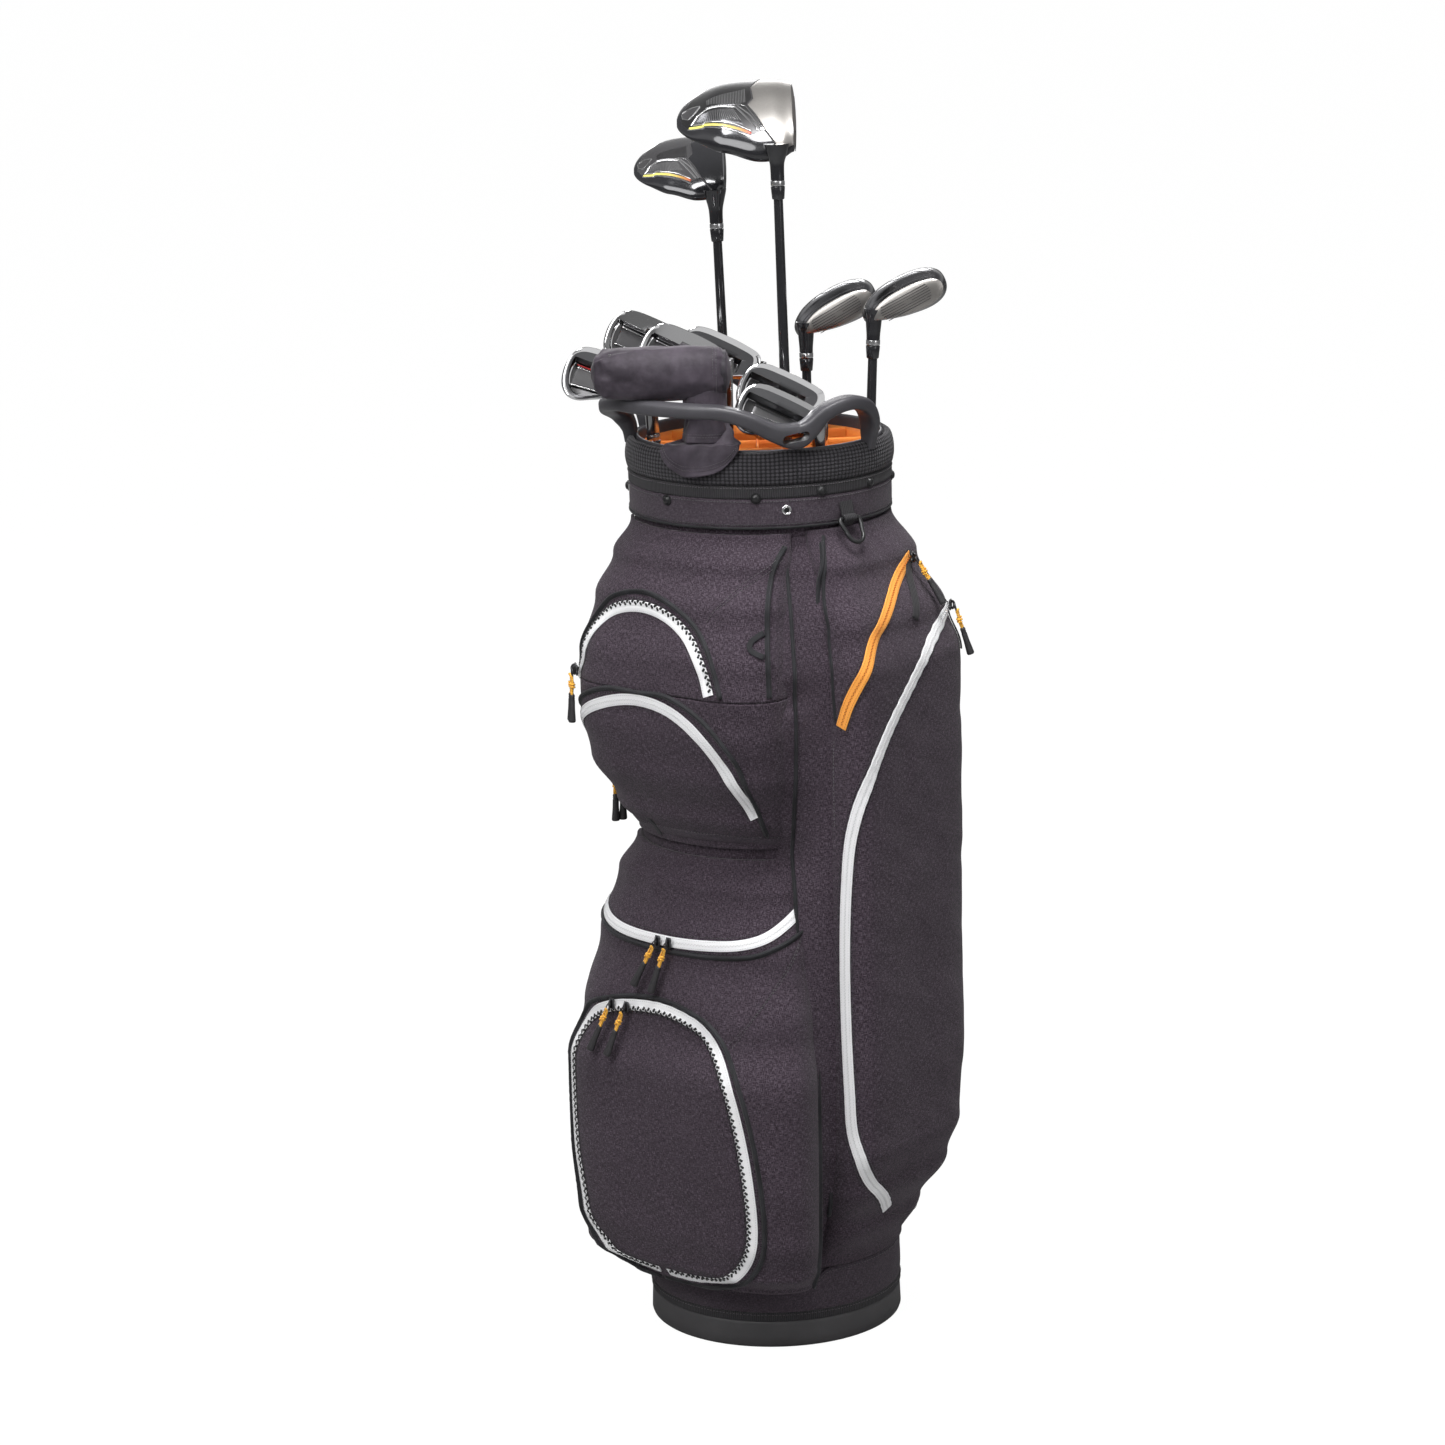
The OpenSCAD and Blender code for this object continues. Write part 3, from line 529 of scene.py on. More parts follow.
def plainCloth(name, dark, light, pitch=0.0007, wrinkle=26, roughness=0.62, sheen=0.12, crease=0.0016):
    # Fine plain nylon or lining: close threads and soft creases, with painted shade in the creases and a painted
    # highlight on their crests
    material, tree, shader = newMaterial(name, dark, roughness, Sheen_Weight=sheen, Sheen_Roughness=0.4,
        Specular_IOR_Level=0.25)
    threads = times(tree, ridges(tree, pitch, 0.3), ridges(tree, pitch, 0.3, "Y"))
    drift = noise(tree, place(tree, "Object"), wrinkle, 4.0, 0.6)
    # painted shade and highlight: the colour follows the crease relief, dark in the hollows and light on the crests
    tint(tree, shader, addMix(tree, addRamp(tree, drift, [(0.35, 0.0), (0.68, 1.0)]), dark, light))
    height = plus(tree, times(tree, threads, 0.12), drift)
    bumpTo(tree, shader, height, 0.55, crease)
    return material


def spacerMesh(name):
    # Padded spacer mesh: round holes in a close honeycomb, black threads over a darker base
    material, tree, shader = newMaterial(name, (0.02, 0.019, 0.021), 0.85, Sheen_Weight=0.1, Specular_IOR_Level=0.25)
    cells = addNode(tree, "ShaderNodeTexVoronoi", {"Vector": place(tree, scale=(1, 1.15, 1)), "Scale": 240.0,
        "Randomness": 0.0})
    hole = addRamp(tree, cells.outputs["Distance"], [(0.22, 0.0), (0.5, 1.0)])
    shade = noise(tree, place(tree), 14, 3.0)
    tone = addMix(tree, hole, (0.075, 0.071, 0.08), (0.012, 0.011, 0.013))
    tone = addMix(tree, times(tree, shade, 0.5), tone, (0.02, 0.019, 0.022))
    tint(tree, shader, tone)
    bumpTo(tree, shader, addMath(tree, "SUBTRACT", 1.0, hole), 0.8, 0.0011)
    return material


def ribbedWebbing(name, tone=(0.022, 0.021, 0.023), pitch=0.0021):
    # Ribbed webbing: raised ribs across the strap with fine threads along them; pale flecks only on the rib crests,
    # partly thread colour and partly a painted highlight
    material, tree, shader = newMaterial(name, tone, 0.75, Sheen_Weight=0.06, Specular_IOR_Level=0.25)
    ribs = ridges(tree, pitch, 0.2)
    fine = noise(tree, place(tree, scale=(1, 4, 1)), 900, 2.0)
    light = tuple(min(1, c * 3.0) for c in tone)
    # pale flecks on the raised rib crests: part fleck of thread, part painted highlight
    share = times(tree, ribs, fine)
    tint(tree, shader, addMix(tree, share, tone, light))
    bumpTo(tree, shader, plus(tree, ribs, times(tree, fine, 0.3)), 0.7, 0.0006)
    return material


def mouldedPlastic(name, tone, roughness=0.48, grain=0.00012, speck=900, scuff=0.25):
    # Moulded plastic: fine spark grain, faint colour drift and paler scuffs
    material, tree, shader = newMaterial(name, tone, roughness)
    solid = place(tree, "Object")
    spark = noise(tree, solid, speck, 2.0)
    drift = noise(tree, solid, 16, 4.0, 0.6)
    marks = addRamp(tree, drift, [(0.52, 0.0), (0.72, scuff)])
    tint(tree, shader, addMix(tree, marks, tone, tuple(min(1, c * 1.7 + 0.02) for c in tone)))
    tree.links.new(addRamp(tree, drift, [(0.3, roughness - 0.08), (0.7, roughness + 0.1)]),
        shader.inputs["Roughness"])
    bumpTo(tree, shader, spark, 0.5, grain)
    return material


def metalFinish(name, tone, roughness, brush=0.0, axis="X", smudge=0.06, scale=1500, coat=0.0):
    # Polished or brushed metal: long fine scratches along one axis and soft smudges in the gloss
    material, tree, shader = newMaterial(name, tone, roughness, 1.0, Coat_Weight=coat, Coat_Roughness=0.08)
    stretch = {"X": (0.03, 1, 1), "Y": (1, 0.03, 1), "Z": (1, 1, 0.03)}[axis]
    lines = noise(tree, place(tree, "Object", stretch), scale, 2.0)
    haze = noise(tree, place(tree, "Object"), 22, 3.0)
    rough = plus(tree, times(tree, haze, smudge), roughness - smudge / 2)
    tree.links.new(plus(tree, rough, times(tree, lines, brush * 0.25)), shader.inputs["Roughness"])
    tint(tree, shader, addMix(tree, times(tree, lines, max(brush, 0.15)), tone, tuple(c * 0.62 for c in tone)))
    if brush:
        bumpTo(tree, shader, lines, 0.25, 0.00006)
    return material


def glossPaint(name, tone, flake=0.0, roughness=0.16):
    # Gloss paint under lacquer, with a fine metallic flake
    material, tree, shader = newMaterial(name, tone, roughness, 0.35 if flake else 0.0, Coat_Weight=0.8,
        Coat_Roughness=0.06)
    solid = place(tree, "Object")
    sparkle = noise(tree, solid, 1600, 2.0)
    haze = noise(tree, solid, 18, 3.0)
    lit = plus(tree, times(tree, addRamp(tree, sparkle, [(0.55, 0.0), (0.75, 1.0)]), flake), times(tree, haze, 0.12))
    tint(tree, shader, addMix(tree, lit, tone, tuple(min(1, c * 2.2 + 0.12) for c in tone)))
    return material


def twistedCord(name, tone, second):
    # Round braided cord: two colours crossing on the slant
    material, tree, shader = newMaterial(name, tone, 0.7, Sheen_Weight=0.3)
    wave = ridges(tree, 0.0016, 0.4, turn=0.8)
    tint(tree, shader, addMix(tree, wave, tone, second))
    bumpTo(tree, shader, wave, 0.6, 0.0004)
    return material


def zipTape(name, tone, shade):
    # Woven zip tape: fine ribs along it, faint dirt
    material, tree, shader = newMaterial(name, tone, 0.6, Sheen_Weight=0.15)
    ribs = ridges(tree, 0.0013, 0.2)
    dirt = noise(tree, place(tree), 60, 3.0)
    share = times(tree, plus(tree, ribs, dirt), 0.28)
    tint(tree, shader, addMix(tree, share, tone, shade))
    bumpTo(tree, shader, ribs, 0.35, 0.0002)
    return material


bodyCloth = wovenCloth("heatheredCloth", (0.03, 0.0205, 0.029), (0.21, 0.163, 0.21))
bandCloth = wovenCloth("bandCloth", (0.05, 0.038, 0.05), (0.17, 0.14, 0.17), pitch=0.0013)
pipingCloth = plainCloth("pipingCloth", (0.012, 0.012, 0.014), (0.03, 0.03, 0.034), pitch=0.0006)
darkThread = twistedCord("darkThread", (0.014, 0.013, 0.016), (0.03, 0.028, 0.032))
paleThread = twistedCord("paleThread", (0.07, 0.062, 0.07), (0.13, 0.12, 0.13))
liningCloth = plainCloth("liningCloth", (0.75, 0.15, 0.02), (0.95, 0.34, 0.06), pitch=0.0009, wrinkle=18)
coverCloth = plainCloth("coverCloth", (0.03, 0.024, 0.032), (0.078, 0.064, 0.082), pitch=0.0008, wrinkle=30)
coverDark = plainCloth("coverDark", (0.022, 0.02, 0.025), (0.045, 0.04, 0.048), pitch=0.0008, wrinkle=30)
collarMesh = spacerMesh("spacerMesh")
webbing = ribbedWebbing("ribbedWebbing")
whiteTape = zipTape("whiteTape", (0.92, 0.92, 0.93), (0.75, 0.75, 0.77))
orangeTape = zipTape("orangeTape", (0.95, 0.42, 0.07), (0.8, 0.26, 0.03))
baseGrey = mouldedPlastic("baseGrey", (0.055, 0.053, 0.056))
handleGrey = mouldedPlastic("handleGrey", (0.05, 0.048, 0.055), roughness=0.42)
blackPlastic = mouldedPlastic("blackPlastic", (0.012, 0.012, 0.013), roughness=0.35, scuff=0.15)
softBlack = mouldedPlastic("softBlack", (0.022, 0.021, 0.023), roughness=0.6, scuff=0.2)
gripRubber = mouldedPlastic("gripRubber", (0.02, 0.02, 0.021), roughness=0.75, grain=0.0005, speck=420)
yellowCord = twistedCord("yellowCord", (0.95, 0.52, 0.05), (0.75, 0.33, 0.02))
snapSilver = metalFinish("snapSilver", (0.75, 0.75, 0.76), 0.22)
chrome = metalFinish("polishedChrome", (0.82, 0.82, 0.83), 0.08)
satinChrome = metalFinish("satinChrome", (0.11, 0.11, 0.115), 0.26, brush=0.4)
brushedFace = metalFinish("brushedFace", (0.44, 0.42, 0.4), 0.28, brush=0.7, axis="Y")
darkChrome = metalFinish("darkChrome", (0.2, 0.2, 0.21), 0.2)
satinDark = metalFinish("satinDark", (0.085, 0.084, 0.086), 0.3, brush=0.3)
steelShaft = metalFinish("steelShaft", (0.7, 0.7, 0.71), 0.14)
blackGloss = glossPaint("blackGloss", (0.012, 0.012, 0.015), flake=0.12)
graphitePaint = glossPaint("graphitePaint", (0.014, 0.014, 0.017), flake=0.2)
redPaint = glossPaint("redPaint", (0.5, 0.02, 0.02))
print("materials made")

# Bag body
bagSet = {"tube": 124.0, "wall": 3.0, "gap": 0.3, "baseTop": 28.0, "shellTop": 871.7, "rim": 905.0}


def cuffRipple(angle, height, amount=0.5):
    # Slow waves round the bag and down it, as sewn cloth has over a tube
    return amount * (softNoise(angle / 14 + 40, height / 60 + 3, 5) + 0.5 * softNoise(angle / 5 + 9, height / 22, 8))


def roundBag(name, profile, body, material, slot, ripple=0.0, count=240, **extra):
    # Closed profile of (radius, height) turned round the bag, its radius eased by soft ripples
    profile = np.asarray(profile, float)
    a = np.linspace(0, 360, count, endpoint=False)
    radius = profile[:, :1] + cuffRipple(a[None], profile[:, 1:], ripple)
    return gridPiece(name, around(radius, a, profile[:, 1:]), body, material, slot, ring=True, **extra)


def closedProfile(points, count):
    # Smooth closed outline through points, evenly sampled
    ring = points[-1:] + points + points[:2]
    return smoothRoute(ring, count + 2 * count // len(points) + 2)


def makeBody():
    # Tube, base, band and cuff: closed profiles turned round the bag, and stitch rows on circles
    tube = bagSet["tube"]
    z = np.linspace(bagSet["baseTop"] + 0.2, bagSet["shellTop"] - 0.2, 90)
    outer = np.stack([np.full_like(z, tube - 0.4), z], 1)
    inner = np.stack([np.full_like(z, tube - bagSet["wall"] + 0.2), z], 1)[::-1]
    shell = roundBag("bagTube", np.concatenate([outer, inner]), "bag", bodyCloth, "body_fabric", loop=True)
    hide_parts("bag_shell")
    # base: drafted ring with a rolled foot, a floor, and a shadow line below its rim
    foot = [(0, 1.2), (90, 1.2), (118, 1.0), (121.5, 0.2), (124.5, 0.3), (126.0, 1.6), (126.9, 4.0), (126.6, 12),
        (126.2, 22), (126.0, 25.5), (125.2, 27.4), (123.8, 27.9), (121.6, 27.6), (121.2, 26.6), (121.1, 25.2),
        (60, 24.9), (0, 24.9)]
    base = gridPiece("baseRing", lathe(foot, 160), "bag", baseGrey, "moulding", ring=True, sharp=50)
    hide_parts("base_cup")
    # webbing edge over the base and the band of cloth above it, higher behind than under the front pocket
    strap = [(124.35, 28.4), (126.6, 28.2), (127.0, 29.5), (127.0, 35.5), (126.5, 36.8), (124.35, 36.8)]
    roundBag("baseEdge", strap, "bag", webbing, "webbing", loop=True, ripple=0.15, sharp=50)
    a = np.linspace(0, 360, 240, endpoint=False)
    turn = (a + 90) % 360
    turn = np.minimum(turn, 360 - turn)
    top = eased([[0, 61.3], [50, 61.3], [64, 79.5], [180, 79.5]], turn)
    t = np.linspace(0, 1, 14)[:, None]
    height = 36.9 + (top[None] - 36.9) * t
    swell = 2.0 + 0.55 * np.sin(np.pi * t) + 0.6 * softNoise(a[None] / 9, height / 9, 21) * np.sin(np.pi * t)
    radius = np.concatenate([tube + 0.35 + swell, np.full_like(swell, tube + 0.3)[::-1]])
    height = np.concatenate([height, height[::-1]])
    band = gridPiece("baseBand", around(radius, a[None], height), "bag", bandCloth, "body_fabric", ring=True,
        loop=True)
    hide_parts("base_band")
    for name, level, lift in (("bandStitchLow", 34.6, 3.0), ("bandStitchHigh", None, 2.6)):
        heights = np.full_like(a, level) if level else top - 3.5
        closed = np.append(np.radians(a), 2 * np.pi)
        normals = np.stack([np.cos(closed), np.sin(closed), 0 * closed], 1)
        path = normals * (tube + lift) + np.stack([0 * closed, 0 * closed, np.append(heights, heights[0])], 1)
        stitchRow(name, path, normals, "bag", paleThread, pitch=3.6)
    # cuff band: cloth below, ribbed webbing above, a bound lower edge and two stitch rows
    low, high = levels("cuff_band")
    body = [(tube + 0.35, low + 0.6), (tube + 3.6, low), (tube + 4.5, low + 1.4), (tube + 4.7, low + 14),
        (tube + 4.6, low + 27.5), (tube + 3.6, low + 28.4), (tube + 0.35, low + 28.4)]
    cuff = roundBag("cuffBand", densify(body, 30), "bag", bandCloth, "body_fabric", loop=True, ripple=0.3)
    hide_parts("cuff_band")
    strip = [(tube + 0.35, low + 28.6), (tube + 4.5, low + 28.4), (tube + 5.2, low + 29.4), (tube + 5.2, high - 1.6),
        (tube + 4.4, high - 0.2), (tube + 0.35, high - 0.2)]
    roundBag("cuffWebbing", densify(strip, 24), "bag", webbing, "webbing", loop=True, ripple=0.25)
    circle = np.linspace(0, 2 * np.pi, 241)
    normals = np.stack([np.cos(circle), np.sin(circle), 0 * circle], 1)
    for name, level, lift, thread in (("cuffStitchLow", low + 3.2, 4.7, darkThread),
            ("cuffStitchHigh", low + 25.5, 4.85, paleThread), ("webbingStitch", high - 2.4, 5.4, paleThread)):
        path = normals * (tube + lift) + np.array([0, 0, level])
        stitchRow(name, path, normals, "bag", thread, pitch=3.2)
    ringPath = normals * (tube + 3.9) + np.array([0, 0, low - 0.1])
    gridPiece("cuffPiping", sweep(ringPath[:-1], roundSection(1.5), normals[:-1]), "bag", pipingCloth, "body_fabric",
        ring=True, loop=True)


def densify(points, count):
    # The closed outline with its straight runs divided evenly
    path = np.array(points + points[:1], float)
    return evenly(path, count + 1)[:-1]


collarSet = {"quilt": 0.5, "seamAngles": (-36, 96, 188)}


def makeCollar():
    # Padded collar: a tall rounded section that bellies between its seams
    low, high = levels("mesh_collar")
    inner = bagSet["tube"] - bagSet["wall"] + 0.1
    h = high - low
    outline = [(inner, low + 2), (inner + 4, low + 0.3), (inner + 8.3, low + 0.5), (inner + 9.9, low + 5),
        (inner + 10.6, low + h * 0.36), (inner + 10.2, low + h * 0.62), (inner + 8.9, low + h * 0.83),
        (inner + 6.4, high - 0.5), (inner + 3.4, high + 0.1), (inner + 1.0, high - 1.8), (inner - 0.1, high - 5),
        (inner - 0.1, low + h * 0.5)]
    profile = evenly(closedProfile(outline, 60), 61)[:-1]
    a = np.linspace(0, 360, 360, endpoint=False)
    radius = np.repeat(profile[:, :1], 360, 1)
    height = np.repeat(profile[:, 1:], 360, 1)
    middle = inner + 5
    near = sum(np.exp(-((((a - s + 180) % 360) - 180) / 1.3) ** 2) for s in collarSet["seamAngles"])[None]
    wave = softNoise(a[None] / 7, height / 12, 31) * 0.5 + 0.35 * softNoise(a[None] / 2.6, height / 7, 32)
    outward = (radius - middle) / 6
    radius = radius + outward * (wave * collarSet["quilt"] - near * 1.2)
    lift = eased([[-180, 0], [-52, 0], [-38, 1.2], [-24, 0], [180, 0]],
        ((a + 180) % 360) - 180)[None] * ((height - low) / h) ** 2
    height = height + lift + 0.35 * softNoise(a[None] / 6, 0 * height, 33) * ((height - low) / h) ** 2
    collar = gridPiece("meshCollar", around(radius, a[None], height), "bag", collarMesh, "mesh", ring=True, loop=True)
    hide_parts("mesh_collar")
    # a dark seam line runs down the collar at each join
    for i, angle in enumerate(collarSet["seamAngles"]):
        path = [(inner + 9.1, low + 3), (inner + 9.6, low + h * 0.4), (inner + 8.1, low + h * 0.82),
            (inner + 6.2, high - 1.6), (inner + 3.2, high - 1.2)]
        path = smoothRoute([around(r, angle, z) for r, z in path], 30)
        normal = unit(path * np.array([1, 1, 0]))
        bagBar(f"collarSeam{i}", sweep(path, roundSection(0.7, 8), normal), pipingCloth, "mesh")


studSet = {"spots": [[-138, 18], [-96, 18], [-54, 12], [-41, 24], [-25, 8], [3, 8], [32, 12], [74, 18], [116, 18],
    [158, 18], [200, 18]], "silver": 3}


def makeStuds():
    # Snap studs: a dished base with a domed cap, and one open socket in bright metal
    base = levels("cuff_band")[1]
    dome = [(0, 3.4), (1.6, 3.25), (3.0, 2.7), (3.8, 1.9), (4.0, 1.2), (4.2, 1.0), (5.0, 1.0), (5.3, 0.6),
        (5.3, 0.05)]
    socket = [(0.01, 0.9), (1.1, 0.9), (2.2, 0.9), (2.5, 1.9), (3.0, 2.3), (3.4, 1.9), (3.6, 1.0), (4.1, 1.0),
        (4.5, 1.3), (4.8, 1.0), (4.8, 0.05)]
    black, silver = [], None
    for i, (angle, down) in enumerate(studSet["spots"]):
        cap = lathe(socket if i == studSet["silver"] else dome, 28)[::-1]
        cap = np.stack([cap[..., 2] + bagSet["tube"] + 5.0, cap[..., 0], cap[..., 1]], -1)
        cap = turned(cap, "Z", angle) + np.array([0, 0, base - down])
        if i == studSet["silver"]:
            silver = cap
        else:
            black.append(cap)
    for i, cap in enumerate(black):
        gridPiece(f"stud{i}", cap, "bag", blackPlastic, "snaps", ring=True, caps="s", sharp=40)
    zones = [1 if radius < 2.6 else 0 for radius, height in socket[::-1]]
    bright = gridPiece("studSilver", silver, "bag", [snapSilver, blackPlastic], "snaps", ring=True, caps="s",
        sharp=40, zones=zones)
    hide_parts("snap_studs")


makeBody()
makeCollar()
makeStuds()
print("bag body made")

# Dividers and lining
wellSet = {"turn": 38, "radius": 117.1, "bottom": 643, "top": 893, "walls": [-66, -26, 20, 76],
    "cross": [[8], [-58, 22], [-60, -2, 62], [-32, 27.5], [0]], "thick": 2.4}


def makeDividers():
    # Cloth walls of the wells: slabs with a rolled, slightly wavy top edge, inside a cloth ring
    r, low, high = wellSet["radius"], wellSet["bottom"], wellSet["top"]
    edges = [-r] + wellSet["walls"] + [r]
    walls = []
    for d in wellSet["walls"]:
        reach = np.sqrt((r - 1.6) ** 2 - d ** 2)
        walls.append(((-reach, d), (reach, d)))
    for row, spots in enumerate(wellSet["cross"]):
        for x in spots:
            reach = np.sqrt((r - 1.6) ** 2 - x ** 2)
            walls.append(((x, max(edges[row] + 1.3, -reach)), (x, min(edges[row + 1] - 1.3, reach))))
    for i, (start, end) in enumerate(walls):
        start, end = np.array(start, float), np.array(end, float)
        s = np.linspace(0, 1, 60)
        line = start + (end - start) * s[:, None]
        side = np.array([-(end - start)[1], (end - start)[0]]) / np.linalg.norm(end - start)
        half = [(0.9, low), (1.0, low + 80), (1.0, low + 160), (1.0, high - 26), (1.0, high - 12), (1.1, high - 4.5),
            (1.0, high - 1.2)]
        section = np.array(half + [(0.0, high)] + [(-x, z) for x, z in half[::-1]])
        wave = 0.3 * softNoise(s * np.linalg.norm(end - start) / 30 + 7 * i, 0 * s, 50 + i) * np.sin(np.pi * s) ** 0.5
        depth = (section[:, 1] - low) / (high - low)
        offset = section[None, :, 0] + wave[:, None] * depth[None] ** 4
        xy = line[:, None] + offset[..., None] * side
        sag = -2.2 * np.sin(np.pi * s)[:, None] * depth[None] ** 8
        grid = np.concatenate([xy, (section[None, :, 1] + sag)[..., None]], -1)
        wall = bagBar(f"divider{i}", turned(grid, "Z", wellSet["turn"]), liningCloth, "lining")
        if i == 0:
            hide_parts("club_dividers")
    ring = [(r - 1.7, low), (r - 0.1, low), (r, high - 3), (r - 0.3, high), (r - 1.3, high + 0.2),
        (r - 1.9, high - 1.5)]
    roundBag("liningRing", densify(ring, 40), "bag", liningCloth, "lining", ripple=0.18, loop=True)


makeDividers()
print("dividers made")

# Handles
handleSet = {"front": [[-143, 125.8, -9, -2], [-142, 127, 6, -1], [-139, 135, 20, 0], [-132, 147, 29, 0],
    [-123, 151, 36, 0], [-112, 151, 40, 0], [-98, 149, 40.5, 0], [-80, 147, 40.5, 0], [-66, 143, 39, 0],
    [-55, 139, 30, 2], [-46, 135, 19, 5], [-37, 131, 14, 12], [-31, 131, 20, 6], [-24, 134, 35, 1], [-14, 137, 42, 0],
    [-5, 136, 37, 0], [2, 131, 22, 0], [4.5, 127.2, 7, -1], [4.5, 125.8, -9, -2]],
    "rear": [[190, 125.8, -9, -2], [190, 127.5, 8, -1], [186, 136, 25, 0], [177, 142, 37, 0], [160, 144, 42, 0],
    [143, 142, 37, 0], [134, 136, 25, 0], [130, 127.5, 8, -1], [130, 125.8, -9, -2]], "width": 19.4, "thick": 14.6,
    "slot": {"angle": -37.5, "rise": 13.5, "length": 27, "height": 8.5}}


def makeHandle(name, route, count):
    # Bar of a flattened oval section, square to its run, thicker where it dips
    polar = smoothRoute(route, count)
    path = around(polar[:, 1], polar[:, 0], bagSet["rim"] + polar[:, 2])
    out = around(1, polar[:, 0], 0.0)
    along = unit(np.gradient(path, axis=0))
    across = unit(out - along * (out * along).sum(1, keepdims=True))
    up = np.cross(across, along)
    up = up * np.sign(up[:, 2:].sum() or 1)
    c = fullTurn(40)
    slim = np.clip((polar[:, 2] + 9) / 26, 0, 1)[:, None]  # the feet narrow into the collar
    x = superCurve(np.cos(c), 0.62) * handleSet["width"] / 2 * (0.6 + 0.4 * slim)
    y = superCurve(np.sin(c), 0.62)
    y = y * (1 + 0.05 * np.cos(2 * c))
    thick = (handleSet["thick"] + polar[:, 3]) / 2
    grid = path[:, None] + x[..., None] * across[:, None] + (y[None] * thick[:, None])[..., None] * up[:, None]
    return bagBar(name, grid, handleGrey, "moulding")


def cutWith(piece, cutter):
    # Boolean cut, applied, and the cutter removed
    tool = piece.modifiers.new("cut", "BOOLEAN")
    tool.operation, tool.object, tool.solver = "DIFFERENCE", cutter, "EXACT"
    bpy.context.view_layer.update()
    graph = bpy.context.evaluated_depsgraph_get()
    mesh = bpy.data.meshes.new_from_object(piece.evaluated_get(graph))
    piece.modifiers.clear()
    piece.data = mesh
    bpy.data.objects.remove(cutter)


def makeHandles():
    # Both bars, the slot cut through the front one (a rounded oblong carried outwards), and the frame
    front = makeHandle("frontHandle", handleSet["front"], 180)
    rear = makeHandle("rearHandle", handleSet["rear"], 70)
    slot = handleSet["slot"]
    c = fullTurn(32)
    half = slot["height"] / 2
    y = np.where(np.cos(c) >= 0, 1, -1) * (slot["length"] / 2 - half) + half * np.cos(c)
    z = half * np.sin(c)
    grid = np.stack([np.stack([np.full_like(y, r), y, z + 0.14 * y], -1) for r in (105, 160)])
    grid = turned(grid, "Z", slot["angle"]) + np.array([0, 0, bagSet["rim"] + slot["rise"]])
    cutter = buildMesh("slotCutter", grid.reshape(-1, 3) * mm,
        [np.stack([np.arange(32), (np.arange(32) + 1) % 32, (np.arange(32) + 1) % 32 + 32, np.arange(32) + 32], 1),
        np.arange(32)[::-1][None], np.arange(32, 64)[None]])
    faceOutward(cutter)
    cutWith(front, cutter)
    front.data.set_sharp_from_angle(angle=np.radians(40))
    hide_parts("front_handle")
    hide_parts("rear_handle")
    # frame under the collar: moulded ring with a rolled lip
    low = bagSet["rim"] - 60
    lip = [(117.8, low), (120.5, low), (120.6, 890), (120.6, 902), (120.2, 904.4), (119.3, 905), (118.2, 904.4),
        (117.8, 902)]
    ring = roundBag("cuffFrame", densify(lip, 60), "bag", handleGrey, "moulding", loop=True)
    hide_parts("cuff_frame")


makeHandles()
print("handles made")

# Pockets
# Each pocket: middle angle, half angle, half width and reach from the bag's axis (mm), and
# [height, fullness] keys of its bulge
pocketSet = {"ball": {"node": "ball_pocket", "mid": -90, "half": 56, "wide": 160, "reach": 180, "facing": -90,
    "relief": 1.5, "keys": [[62, .05], [74, .56], [95, .82], [130, .93], [200, .98], [285, .98], [338, .78],
    [410, .55], [472, .3], [503, .05]]}, "middle": {"node": "middle_pocket", "mid": -90, "half": 51, "wide": 132,
    "reach": 172, "facing": -90, "relief": 1.4, "keys": [[514, .04], [550, .45], [596, .86], [640, 1], [672, 1]]},
    "upper": {"node": "upper_pocket", "mid": -90, "half": 51, "wide": 132, "reach": 172, "facing": -90, "relief": 1.3,
    "keys": [[673, 1], [698, .96], [753, .7], [793, .38], [824, .04]]},
    "right": {"node": "side_pocket_right", "mid": 22, "half": 54, "wide": 122, "reach": 186, "facing": 0,
    "relief": 1.7, "keys": [[81, .04], [124, .34], [171, .74], [214, .94], [300, 1], [690, 1], [731, .82], [787, .4],
    [826, .03]]}, "left": {"node": "side_pocket_left", "mid": 154, "half": 38, "wide": 116, "reach": 150,
    "facing": 180, "relief": 1.6, "keys": [[85, .05], [150, .8], [230, 1], [650, 1], [730, .7], [790, .05]]}}
pocketWall = bagSet["tube"] + bagSet["gap"]


def pocketReach(p, angle, height):
    # Distance of the pocket's face from the axis: a superellipse plan times the fullness at that
    # height, falling to the tube along a quarter circle at the two ends
    a = np.radians(angle - p["facing"])
    plan = (abs(np.cos(a) / p["reach"]) ** 4.5 + abs(np.sin(a) / p["wide"]) ** 4.5) ** (-1 / 4.5)
    e = np.clip((p["half"] - abs(angle - p["mid"])) / 12, 0, 1)
    full = np.sqrt(np.maximum(1 - (1 - e) ** 2, 0)) * eased(p["keys"], height)
    return pocketWall + 2 + (plan - pocketWall - 2) * full


def seamGroove(angle, height, lines, width, depth):
    # Depth lost near seam lines: a soft valley by the distance to the nearest point of each line
    lost = np.zeros(np.broadcast(angle, height).shape)
    scale = np.pi / 180 * 155
    for line in lines:
        path = smoothRoute(line, 60 if len(line) < 14 else 110) * [scale, 1]
        near = np.full(lost.shape, 1e9)
        for x, y in path:
            near = np.minimum(near, (angle * scale - x) ** 2 + (height - y) ** 2)
        lost = np.maximum(lost, depth * np.exp(-near / width ** 2))
    return lost


